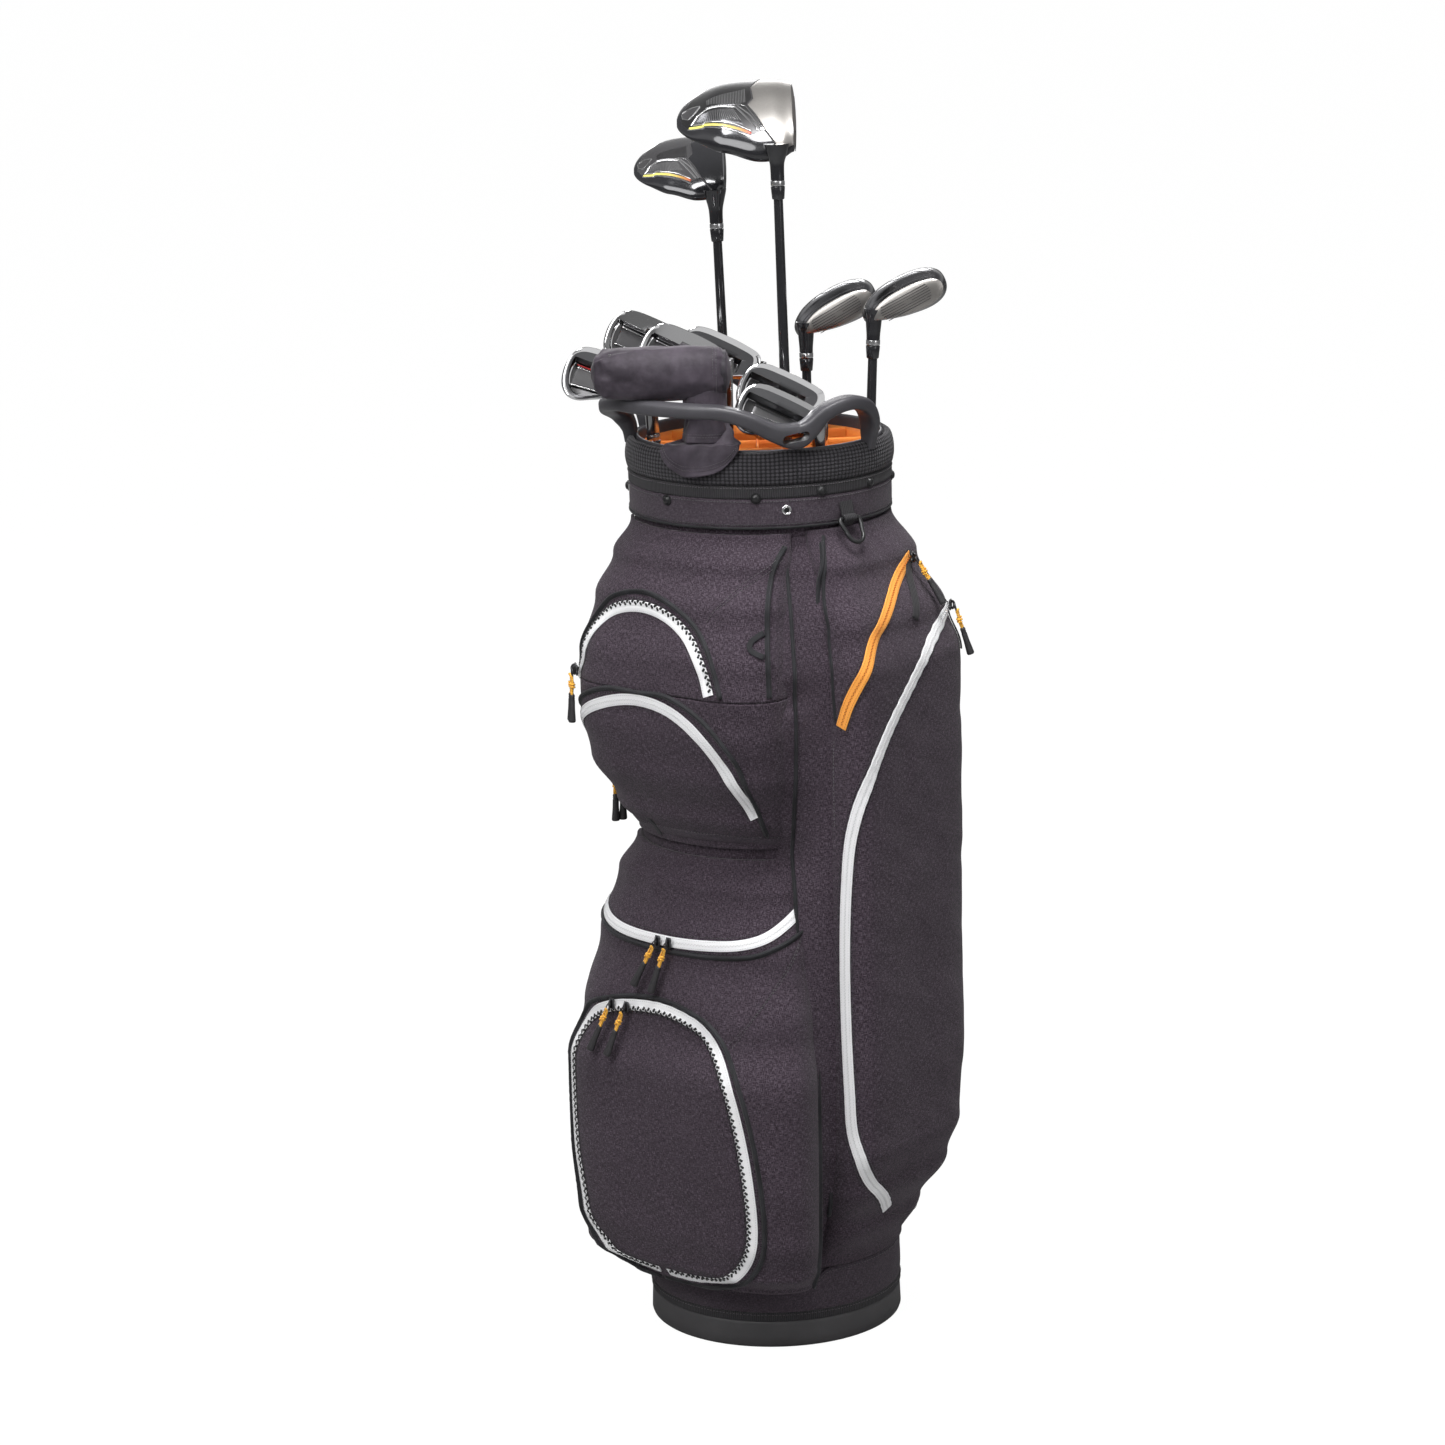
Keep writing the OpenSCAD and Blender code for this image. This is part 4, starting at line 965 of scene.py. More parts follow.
# Seam, zip and piping routes as [angle, height] on the pockets
zipRoutes = {"upperZip": [[-126.5, 675], [-123.5, 693], [-119.5, 724], [-112, 745], [-100, 753], [-88, 747],
    [-78, 730], [-72, 705], [-69, 678]], "middleZip": [[-141, 572], [-134, 608], [-123, 638], [-110, 657], [-97, 664],
    [-84, 657], [-73, 636], [-65, 604], [-56, 552]], "ballTopZip": [[-138, 438], [-123, 427], [-110, 422], [-90, 421],
    [-74, 423], [-62, 427], [-52, 436], [-41, 456]], "ballDoorZip": [[-98, 80], [-112, 88], [-122, 118], [-126, 200],
    [-127, 280], [-124, 325], [-113, 347], [-96, 355], [-82, 350], [-73, 336], [-66, 300], [-61, 235], [-58.5, 160],
    [-60, 118], [-67, 90], [-80, 80], [-94, 79.5]], "sideZip": [[27, 734], [9, 707], [-3, 672], [-14, 633],
    [-22, 588], [-26, 542], [-27.5, 480], [-28, 390], [-27.5, 282], [-26, 222], [-20, 180], [-4, 135]],
    "orangeZip": [[18, 787], [1, 764], [-14, 732], [-22, 698], [-26, 670], [-28, 642]]}
pipeRoutes = {"ball": {"ballLowPipe": [[-139, 432], [-121, 417], [-100, 412], [-78, 412], [-60, 416], [-50, 425],
    [-37.5, 441]], "ballDoorPipe": [[-100, 71], [-115, 79], [-126, 112], [-130, 200], [-131, 285], [-127, 335],
    [-113, 356], [-96, 364], [-81, 358], [-70, 342], [-62.5, 302], [-57.5, 236], [-55, 160], [-56.5, 112], [-65, 81],
    [-80, 71], [-98, 70.5]], "ballEdgePipe": [[-37.3, 455], [-36.6, 400], [-36.4, 300], [-36.6, 200], [-37.2, 110],
    [-38.5, 72]]}, "middle": {"middlePipeOut": [[-143, 590], [-135.5, 626], [-124, 654], [-110, 671], [-97, 671.5],
    [-84, 671], [-71, 651], [-61.7, 616], [-57, 575], [-52, 530]],
    "middlePipe": [[-42, 668], [-41.6, 630], [-41.3, 590], [-41, 540], [-40.6, 520]]},
    "upper": {"upperPipeOut": [[-131, 676], [-127, 702], [-121, 737], [-112.5, 759], [-100, 767], [-87, 760],
    [-76, 742], [-69, 715], [-65, 676]], "upperPipe": [[-42, 812], [-47.2, 795], [-50, 765], [-50.6, 730],
    [-50.6, 700], [-50.4, 677]]}, "right": {"rightEdgePipe": [[-26.1, 814], [-29.5, 780], [-31, 745], [-31.4, 700],
    [-31.5, 600], [-31.5, 480], [-31.5, 360], [-31.3, 240], [-30, 140]]}}
seamRoutes = {"ball": [[[-39, 437], [-45.4, 403], [-55.4, 364], [-64, 326]],
    [[-40.3, 432], [-47, 400], [-57, 359], [-65, 330]]],
    "middle": [[[-138, 528], [-107, 530], [-80, 531], [-60, 530], [-44, 528]]],
    "upper": [[[-43, 806], [-49, 796], [-58.3, 781], [-66.3, 761], [-70.7, 745]],
    [[-43, 800], [-50, 789], [-59.5, 774], [-67.5, 756]]],
    "right": [[[-29, 628], [-29.2, 600], [-29.2, 540]], [[68, 800], [66, 600], [66, 300], [67, 110]],
    [[-2, 130], [12, 118], [30, 114], [60, 114]]], "left": [[[150, 780], [150, 400], [150, 100]]]}
pocketZips = {"ball": ["ballTopZip", "ballDoorZip"], "middle": ["middleZip"], "upper": ["upperZip"],
    "right": ["sideZip", "orangeZip"], "left": []}


def fabricRelief(p, angle, height):
    # Cloth relief: slow swells and diagonal drags
    size = p["relief"]
    relief = size * (0.42 * softNoise(angle / 13 + 11, height / 75, 61) + 0.35
        * softNoise(angle / 5.5 + 5, height / 21 + 9, 62))
    relief += 0.32 * size * softNoise((angle * 2.4 + height) / 17, (angle * 2.4 - height) / 70, 63)
    return relief


def facePoint(name, angle, height, lift=0.0):
    # Points on a pocket's finished face, lift in millimetres proud of it
    p = pocketSet[name]
    angle, height = np.asarray(angle, float), np.asarray(height, float)
    radius = pocketReach(p, angle, height) + faceRelief(name, angle, height) + lift
    return around(radius, angle, height)


reliefMaps = {}


def faceRelief(name, angle, height):
    # Relief read from the pocket's own grid, so that trims follow the cloth
    grid, values = reliefMaps[name]
    (a0, a1, z0, z1), rows, cols = grid, values.shape[0], values.shape[1]
    x = np.clip((angle - a0) / (a1 - a0) * (cols - 1), 0, cols - 1.001)
    y = np.clip((height - z0) / (z1 - z0) * (rows - 1), 0, rows - 1.001)
    i, j = x.astype(int), y.astype(int)
    s, t = x - i, y - j
    return ((values[j, i] * (1 - s) + values[j, i + 1] * s) * (1 - t)
        + (values[j + 1, i] * (1 - s) + values[j + 1, i + 1] * s) * t)


def makePocket(name, cols=150, step=3.2):
    # Front and back skins on one grid, closed all round: a sewn bag over the tube
    p = pocketSet[name]
    low, high = p["keys"][0][0], p["keys"][-1][0]
    rows = int((high - low) / step)
    e = np.linspace(-1, 1, cols)
    angle = (p["mid"] + p["half"] * np.sin(e * np.pi / 2) * 0.5 + p["half"] * e * 0.5)[None]
    edge = np.linspace(0, 1, rows)
    height = (low + (high - low) * (edge - 0.06 * np.sin(2 * np.pi * edge)))[:, None]
    even = np.linspace(p["mid"] - p["half"], p["mid"] + p["half"], cols)[None]
    evenZ = np.linspace(low, high, rows)[:, None]
    routes = [zipRoutes[r] for r in pocketZips[name]]
    fade = np.minimum(1, (p["half"] - abs(even - p["mid"])) / 7) * np.clip(np.minimum(evenZ - low, high - evenZ) / 16,
        0, 1)
    pipes = list(pipeRoutes.get(name, {}).values())
    calm = np.maximum(seamGroove(even, evenZ, routes, 22, 0.92), seamGroove(even, evenZ, pipes, 14, 0.75))
    relief = fabricRelief(p, even, evenZ) * fade * (1 - calm)
    relief -= seamGroove(even, evenZ, routes, 5.5, 1.0) * fade + seamGroove(even, evenZ, seamRoutes.get(name, []),
        2.2, 0.8) * fade
    relief -= seamGroove(even, evenZ, pipes, 3.2, 0.8) * fade
    reliefMaps[name] = ((even[0, 0], even[0, -1], evenZ[0, 0], evenZ[-1, 0]), relief)
    grid = facePoint(name, np.broadcast_to(angle, (rows, cols)), np.broadcast_to(height, (rows, cols)))
    back = around(pocketWall, angle, height)
    return shellPiece(name + "Pocket", grid, back, "bag", bodyCloth)


def routeOn(name, route, count, lift):
    # A route of [angle, height] as points on the pocket's face, with the face's normals
    line = smoothRoute(np.array(route) * [2.7, 1], count) / [2.7, 1]
    here = facePoint(name, line[:, 0], line[:, 1], lift)
    side = facePoint(name, line[:, 0] + 0.8, line[:, 1], lift) - facePoint(name, line[:, 0] - 0.8, line[:, 1], lift)
    rise = facePoint(name, line[:, 0], line[:, 1] + 2, lift) - facePoint(name, line[:, 0], line[:, 1] - 2, lift)
    return here, unit(np.cross(side, rise))


def shifted(path, normals, across, lift=0.0):
    # The path moved sideways on the face, and lifted off it
    along = unit(np.gradient(path, axis=0))
    return path + np.cross(along, normals) * across + normals * lift


def makePiping(name, pocket, route, radius=1.7):
    # Corded piping: a round bead on a flat flange
    count = max(60, int(gaps(facePoint(pocket, *np.array(route).T)).sum() / 4))
    path, normals = routeOn(pocket, route, count, 0.3)
    bead = [(-radius * 1.9, -0.3), (-radius * 1.85, 0.25), (-radius * 0.95, 0.45)]
    for a in np.linspace(150, 30, 7):
        bead.append((radius * np.cos(np.radians(a)), radius * 0.75 + radius * np.sin(np.radians(a))))
    bead += [(radius * 0.95, 0.45), (radius * 1.3, 0.1), (radius * 1.3, -0.3)]
    bagBar(name, sweep(path, np.array(bead)[::-1], normals), pipingCloth, "body_fabric")


stitched = 0


def sewOn(pocket, route, across, thread, pitch=3.6, count=160, lift=0.35, radius=0.34):
    # Stitch row on a pocket's face at a distance beside a route
    global stitched
    path, normals = routeOn(pocket, route, count, lift)
    stitchRow(f"stitches{stitched}", shifted(path, normals, across), normals, "bag", thread,
        pitch=pitch, length=pitch * 0.66, radius=radius)
    stitched += 1


# Zips: pocket, half width of the tape, kind and the side the teeth lie on
zipSet = {"upperZip": ("upper", 5.6, "chunky", -1), "middleZip": ("middle", 5.6, "fine", 1),
    "ballTopZip": ("ball", 5.2, "fine", 1), "ballDoorZip": ("ball", 5.6, "chunky", 1),
    "sideZip": ("right", 6.0, "fine", 1), "orangeZip": ("right", 5.8, "orange", 1)}


def makeZip(name):
    # Tape with a raised middle and rolled edges; chunky zips carry rows of interlocking teeth
    pocket, half, kind, hand = zipSet[name]
    route = zipRoutes[name]
    length = gaps(facePoint(pocket, *np.array(route).T)).sum()
    count = int(length / 2.6)
    path, normals = routeOn(pocket, route, count, 0.9)
    edge = [(half, 0.6), (half * 0.8, 0.95), (half * 0.3, 1.05), (0.5, 1.0)]
    tape = [(-half, 0)] + [(-x, y) for x, y in edge] + [(0, 0.75)] + edge[::-1] + [(half, 0), (0, -0.5)]
    cloth = orangeTape if kind == "orange" else whiteTape
    slot = "zip_orange" if kind == "orange" else "zip_white"
    piece = bagBar(name, sweep(path, np.array(tape)[::-1], normals), cloth, slot, sharp=60)
    for side in (-1, 1):
        stitchRow(f"{name}Sewn{0 if side < 0 else 1}", shifted(path, normals, side * half * 0.72, 1.05), normals,
            "bag", whiteThread if kind != "orange" else orangeEdge, pitch=2.6, length=1.7, radius=0.22,
            lift=0.05)
    # teeth: two rows of small rounded blocks that interlock along the middle, or beside it on a chunky zip
    gone = runs(gaps(path))
    pitch, reach, wide = (3.4, 3.8, 1.2) if kind == "chunky" else (1.8, 1.3, 0.62)
    centreLine = hand * half * 0.72 if kind == "chunky" else 0
    line = shifted(path, normals, centreLine, 1.0)
    at = np.arange(2.0, gone[-1] - 2.0, pitch)
    pick = lambda values: picked(values, gone, at)
    centre, normal, along = pick(line), unit(pick(normals)), unit(pick(np.gradient(path, axis=0)))
    across = np.cross(along, normal)
    turnBy = np.where(np.arange(len(at)) % 2, 1, -1)[:, None]
    centre = centre + across * turnBy * reach * 0.3
    lean = unit(across + along * turnBy * 0.75) if kind == "chunky" else across
    wideDir = np.cross(normal, lean)
    box = np.array([(-1, -0.6), (1, -0.6), (1, 0.35), (0.55, 0.8), (-0.55, 0.8), (-1, 0.35)])
    rows = np.array([(-0.5, 0.75), (-0.38, 1), (0.38, 1), (0.5, 0.75)])
    grids = (centre[:, None, None] + lean[:, None, None] * (rows[:, 0] * reach)[None, :, None, None]
        + wideDir[:, None, None] * (rows[:, None, 1] * box[None, :, 0] * wide)[None, ..., None]
        + normal[:, None, None] * (rows[:, None, 1] * box[None, :, 1] * 0.9)[None, ..., None])
    joinGrids(name + "Teeth", grids, "bag", {"chunky": blackPlastic, "fine": toothWhite, "orange": orangeEdge}[kind],
        ring=True)
    return piece


whiteThread = mouldedPlastic("whiteThread", (0.6, 0.6, 0.61), roughness=0.6, scuff=0.3)
orangeEdge = mouldedPlastic("orangeEdge", (0.55, 0.17, 0.02), roughness=0.55, scuff=0.3)
toothWhite = mouldedPlastic("toothWhite", (0.72, 0.72, 0.73), roughness=0.4, scuff=0.2)
for name in pocketSet:
    pocket = makePocket(name)
    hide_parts(pocketSet[name]["node"])
    for pipe, route in pipeRoutes.get(name, {}).items():
        makePiping(pipe, name, route)


# Gusset: side panel that joins the front pockets to the side pocket
gussetSet = {"first": -53, "last": -29.3, "low": 84, "high": 820, "under": 4, "dip": 6, "edges": (-42,)}


def gussetRadius(angle, height):
    # Radius at an angle and height: a blend from the front pockets' reach to the side pocket's,
    # a little under both, dipping between them
    def reachOf(names, at):
        # Largest reach of the named pockets at that angle, smoothed over height
        best = np.full(len(sample), pocketWall + 1.0)
        for name in names:
            p = pocketSet[name]
            inside = (sample >= p["keys"][0][0]) & (sample <= p["keys"][-1][0])
            best = np.where(inside, np.maximum(best, pocketReach(p, at, sample)), best)
        kernel = np.hanning(19)
        return np.convolve(np.pad(best, 9, "edge"), kernel / kernel.sum(), "valid")
    sample = np.linspace(gussetSet["low"], gussetSet["high"], 300)
    front = np.interp(height, sample, reachOf(("ball", "middle", "upper"), gussetSet["first"]))
    side = np.interp(height, sample, reachOf(("right",), gussetSet["last"]))
    x = np.clip((angle - gussetSet["first"]) / (gussetSet["last"] - gussetSet["first"]), 0, 1)
    blend = x * x * (3 - 2 * x)
    ends = np.clip(np.minimum(height - gussetSet["low"], gussetSet["high"] - height) / 30, 0, 1) ** 0.5
    radius = front * (1 - blend) + side * blend - gussetSet["under"] - gussetSet["dip"] * np.sin(np.pi * x)
    radius = radius + 0.9 * softNoise(angle / 9, height / 60, 67)
    return pocketWall + 1 + np.maximum(radius - pocketWall - 1, 0) * ends


def makeGusset():
    # Panel between the pockets, with piping down it at each angle in its edges
    angle = np.linspace(gussetSet["first"], gussetSet["last"], 60)[None]
    height = np.linspace(gussetSet["low"], gussetSet["high"], 230)[:, None]
    front, back = around(gussetRadius(angle, height), angle, height), around(pocketWall + 0.3, angle, height)
    shellPiece("gusset", front, back, "bag", bodyCloth)
    for i, edge in enumerate(gussetSet["edges"]):
        z = np.linspace(gussetSet["low"] + 12, gussetSet["high"] - 6, 200)
        at = np.full(200, float(edge))
        path, normal = around(gussetRadius(at, z), at, z), around(1, at, 0 * z)
        bagBar(f"gussetPipe{i}", sweep(path, roundSection(2.1, 12), normal), pipingCloth, "body_fabric")


makeGusset()
zips = {name: makeZip(name) for name in zipSet}
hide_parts("white_zips")
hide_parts("orange_zip")
for pocket, routes in seamRoutes.items():
    for route in routes:
        sewOn(pocket, route, 1.6, paleThread)
for name, (pocket, half, kind, hand) in zipSet.items():
    for side in (-1, 1):
        sewOn(pocket, zipRoutes[name], side * (half + 2.4), darkThread, count=220)
print("pockets and zips made")

# Sliders, pulls and towel ring
# Spots: pocket, angle, height, distance out from the zip, half the distance of a pair, leans
spotSet = {"upper_pulls": ("upper", -125, 681, 0.3, 4.4, (0, 0)),
    "middle_pulls": ("middle", -139, 566, 0.6, 4.4, (0, 0)),
    "ball_top_pulls": ("ball", -92.5, 421, 0.6, 7, (-26, -16)),
    "ball_door_pulls": ("ball", -108.5, 351, 0.6, 10, (-20, -16)), "orange_pull": ("right", 16, 786, 0.7, 0, (8,)),
    "side_pull": ("right", 25, 735, 0.3, 0, (4,))}
pullSet = {"length": 52, "cord": 1.55, "end": (4.3, 3.1)}
jointFacts = {j["child"]: j for j in frame["joints"]}


def atSpot(name, points, lean=0.0, hang=False, across=0.0):
    # Points of a slider or pull in its own frame (X out, Y along the pin, Z up) at the pin's
    # centre: leant sideways, tipped out by the face's fall, and turned to face outwards
    pocket, angle, height, out, pair, leans = spotSet[name]
    joint = jointFacts[name]
    pin = np.array(joint["pos_m"]) / mm
    along = -np.array(joint["axis"])
    facing = np.degrees(np.arctan2(-along[0], along[1]))
    p = np.array(points, float)
    if hang:
        p = turned(p, "X", lean)
        k = np.arange(1, 5) * pullSet["length"] / 4
        base = pocketReach(pocketSet[pocket], np.array(float(angle)), np.array(float(height)))
        fall = np.degrees(np.arctan((pocketReach(pocketSet[pocket], np.full(4, float(angle)), height - k) - base - 2)
            / k)).max()
        p = turned(p, "Y", -max(0, fall) - 2)
    p = p + [0, across, 0]
    return turned(p, "Z", facing) + pin


def makeSliders():
    # Slider bodies: waisted shells with a bridge over the top that holds the pull's loop
    shells = []
    bridges = []
    for name, (pocket, angle, height, out, pair, leans) in spotSet.items():
        for y in ((-pair, pair) if pair else (0,)):
            z = np.linspace(-5.5, 5.5, 18)
            wide = 3.2 - 0.75 * np.cos(np.pi * z / 5.5) ** 2 * (z < 5)
            a = fullTurn(20)
            tall = 1.5 * np.clip(1 - (abs(z) / 5.7) ** 6, 0.12, 1)
            grid = np.stack([superCurve(np.cos(a), 0.5) * tall[:, None] - 4.2 + 0 * a,
                wide[:, None] * superCurve(np.sin(a), 0.5), np.broadcast_to(z[:, None], (18, 20))], -1)
            shells.append(atSpot(name, grid, across=y))
            s = np.linspace(0, np.pi, 14)
            path = np.stack([-2.9 + 2.5 * np.sin(s), 0 * s, 3.6 * np.cos(s)], 1)
            bridge = sweep(path, boxySection(2.6, 1.2, 0.5, 12), (0, 1, 0))
            bridges.append(atSpot(name, bridge, across=y))
    body = joinGrids("sliderBodies", np.array(shells), "bag", darkMetal, ring=True, sharp=40)
    joinGrids("sliderBridges", np.array(bridges), "bag", darkMetal, ring=True)
    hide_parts("zip_sliders")


def makePulls(name):
    # Each pull: a wire loop on the slider, a doubled knotted cord and a flared soft end
    pocket, angle, height, out, pair, leans = spotSet[name]
    for i, y in enumerate((-pair, pair) if pair else (0,)):
        lean = leans[i]
        s = fullTurn(40)
        wire = np.stack([0.25 * np.cos(2 * s), 1.9 * np.sin(s), -3.6 + 4.4 * np.cos(s)], 1)
        loop = sweep(np.concatenate([wire, wire[:1]]), roundSection(0.65, 8), (1, 0, 0))[:-1]
        hung = lambda part, grid, tone, slot="pull_cord", **extra: gridPiece(f"{name}{part}",
            atSpot(name, grid, lean, True, y), name, tone, slot, ring=True, **extra)
        hung(f"Loop{i}", loop, darkMetal, loop=True)
        r = pullSet["cord"]
        twist = np.linspace(0, 1, 70)
        for k, hand in enumerate((-1, 1)):
            spread = hand * (0.95 + 0.75 * np.sin(np.pi * np.clip(twist * 1.6, 0, 1)))
            sway = 0.9 * np.sin(twist * 7 + k * 1.3 + i)
            path = np.stack([0.7 * sway * 0.5 + 0.2 * hand, spread + 0.35 * sway, -6.4 - twist * 19.5], 1)
            tube = sweep(path, roundSection(r * 0.78, 10), (1, 0, 0))
            hung(f"Cord{i}{k}", tube, yellowCord, caps="se")
        over = np.linspace(0, np.pi, 30)
        crown = np.stack([0.3 + 1.5 * np.sin(over), 1.1 * np.cos(over), -6.8 + 1.3 * np.sin(over)], 1)
        hung(f"Hitch{i}", sweep(crown, roundSection(r * 0.8, 10), (0, 0, 1)), yellowCord, caps="se")
        turns = np.linspace(0, 2 * np.pi * 1.9, 60)
        knot = np.stack([2.1 * np.cos(turns), 2.3 * np.sin(turns), -13.2 - turns * 0.42], 1)
        hung(f"Knot{i}", sweep(knot, roundSection(r * 0.72, 10), (0, 0, 1)), yellowCord, caps="se")
        top, low = -24.5, -pullSet["length"]
        a, b = pullSet["end"][1], pullSet["end"][0]
        profile = [(0.01, top + 0.6), (1.9, top + 0.5), (a - 0.25, top - 0.3), (a, top - 1.6), (a - 0.35, top - 2.6),
            (a, top - 3.6), (a - 0.3, top - 4.6), (a + 0.1, top - 6), (a + 0.25, (top + low) / 2), (b - 0.1, low + 3),
            (b, low + 1.2), (b - 0.6, low + 0.1), (b - 1.6, low), (0.01, low + 0.05)]
        end = lathe(profile, 24)
        end[..., 0] *= 0.86
        hung(f"End{i}", end, softBlack, "black_plastic", sharp=60)
    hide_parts(name)


ringSet = {"angle": -13, "out": 129.6, "z": 834.7, "wide": 24, "wire": 4.2, "leg": 14, "rest": 34}


def onRing(points, tilt):
    # Points in the ring's frame (X out, Y along its bar, Z up) turned out to its resting lean
    p = turned(np.array(points, float), "Y", -tilt)
    return turned(p + [ringSet["out"] + 4.5, 0, ringSet["z"]], "Z", ringSet["angle"])


def makeRing():
    # D-ring of moulded wire: a straight bar, two legs drawn in and a rounded foot
    h, leg = ringSet["wide"] / 2, ringSet["leg"]
    a = np.linspace(0, np.pi, 24)
    foot = np.stack([0 * a, h * 0.82 * np.cos(a), -leg - h * 0.98 * np.sin(a)], 1)
    path = np.concatenate([[[0, 0, 0]], [[0, h * 0.75, 0], [0, h - 1.2, -0.3], [0, h - 0.1, -2.5], [0, h * 0.97, -7]],
        foot, [[0, -h * 0.97, -7], [0, -h + 0.1, -2.5], [0, -h + 1.2, -0.3], [0, -h * 0.75, 0]]])
    closed = smoothRoute(np.concatenate([path, path[:1]]), 121)
    section = roundSection(ringSet["wire"] / 2, 14)
    ring = gridPiece("towelRing", onRing(sweep(closed, section, (1, 0, 0))[:-1], ringSet["rest"]), "strap_ring",
        blackPlastic, "black_plastic", ring=True, loop=True)
    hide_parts("strap_ring")
    # webbing tab wrapped over the bar, its two ends sewn under the cuff band
    s = np.linspace(-0.62 * np.pi, 0.62 * np.pi, 26)
    wrap = np.stack([0.2 + 3.1 * np.cos(s), 0 * s, 3.1 * np.sin(s)], 1)
    up = np.stack([np.linspace(-4.35, wrap[-1, 0], 10)[:-1], np.zeros(9), np.linspace(16, wrap[-1, 2], 10)[:-1] + 0],
        1)
    down = np.stack([np.linspace(wrap[0, 0], -4.35, 10)[1:], np.zeros(9), np.linspace(wrap[0, 2], -7.5, 10)[1:]], 1)
    path = smoothRoute(np.concatenate([down[::-1][:, :], wrap, up[::-1]]), 70)
    strap = sweep(path, boxySection(15.4, 1.5, 0.25, 16), np.array([[0, 0, 1.0]]) * 0 + unit(path - [-1.2, 0, 0.5]))
    tab = bagBar("ringLoop", onRing(strap, 0), webbing, "webbing")
    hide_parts("ring_loop")


darkMetal = metalFinish("darkMetal", (0.09, 0.09, 0.095), 0.3)
makeSliders()
for name in spotSet:
    makePulls(name)
makeRing()
print("pulls and ring made")

# Small sewn details


def makeTab(name, pocket, route, wide, material, lift=0.6):
    # Flat webbing tab sewn on a pocket's face along a route
    path, normals = routeOn(pocket, route, 24, lift)
    bagBar(name, sweep(path, boxySection(wide, 1.5, 0.25, 16), normals), material, "webbing")


makeTab("orangeTab", "right", [[19, 790], [11.7, 768], [4.1, 733]], 9, webbing, 1.2)
makeTab("sideTab", "right", [[30, 735], [29, 712], [27, 690]], 9, webbing, 1.2)
makeTab("utilityTab", "middle", [[-106, 536], [-106, 518]], 7, webbing, 0.5)
makeTab("utilityBand", "middle", [[-138, 523], [-107, 525], [-80, 526], [-60, 525], [-43, 522]], 9, bandCloth, 0.1)


def makeSlit():
    # Elastic pen loop and the welt of the slit beside the upper pocket
    path, normals = routeOn("upper", [[-51.8, 738], [-55.6, 731], [-55.9, 723], [-51.9, 716]], 30, 1.2)
    bagBar("penLoop", sweep(path, boxySection(5.5, 1.4, 0.35, 16), normals), pipingCloth, "webbing")
    path, normals = routeOn("right", [[-24.7, 820], [-27.3, 799], [-29.3, 760], [-29.3, 733], [-29.4, 690],
        [-29, 648]], 90, 0.4)
    bagBar("slitWelt", sweep(path, boxySection(3.6, 2.0, 0.5, 16), normals), pipingCloth, "body_fabric")


makeSlit()
print("sewn details made")

# Clubs
# Places: across and back in the wells' frame, lean, turn of the toe and length (mm, degrees)
clubSet = {"driver": (27, -11, -1, 90, 1168), "fairway": (-32, 98.5, -1.8, 90, 1113),
    "hybrid4": (109, -4, 2.5, 0, 1006), "hybrid5": (48, 46, 0, 0, 987), "iron6": (-66, 61, 0, 180, 960),
    "iron7": (-31, -41, 0, 180, 960), "iron8": (1, 38, 0, 180, 944), "iron9": (-104, 5, -4, 180, 935),
    "pitching_wedge": (60.5, -42, 0, 180, 916), "sand_wedge": (57, -86, 0, 180, 902),
    "putter": (-45, -90, 0, 180, 948)}
# Woods: width, depth, crown height, lead of the face, hosel, lie, squareness, heel past the shaft, belly
woodSet = {"driver": (118, 113, 52, 17, 50, 58, 0.86, 14, 0), "fairway": (98, 89, 32, 9, 48, 59, 0.84, 14, 0),
    "hybrid": (88, 56, 41, 8, 45, 60, 0.92, 20, 0.17)}
shaftTip, hoselDepth = 9.0, 28


# Height at which clubs lean, floor they stand on, and radius of a grip's end (mm)
standSet = {"pivot": 880, "floor": 25.3, "butt": 13.5}


def onClub(club, lie, points):
    # Points in the head's playing frame turned sole up onto the club and stood in its well;
    # with no lie, points in the shaft's own frame
    across, back, lean, turn, length = clubSet[club]
    p = np.asarray(points, float)
    if lie is not None:
        p = turned(turned(p, "X", 180), "Y", lie - 90) + [0, 0, length]
    p = turned(turned(p, "Z", turn), "Y", lean)
    tilt = np.radians(lean)
    p = p + [across - standSet["pivot"] * np.tan(tilt), back,
        standSet["floor"] + standSet["butt"] * np.sin(abs(tilt))]
    return turned(p, "Z", wellSet["turn"])


def woodHalf(form, t):
    # Half width at depth t: a little wider behind the face, then an oval back
    return form[0] / 2 * np.where(t < 0.25, 0.9 + 0.1 * np.sin(2 * np.pi * t),
        np.sqrt(np.maximum(0, 1 - np.maximum((t - 0.25) / 0.75, 0) ** 2.4)))


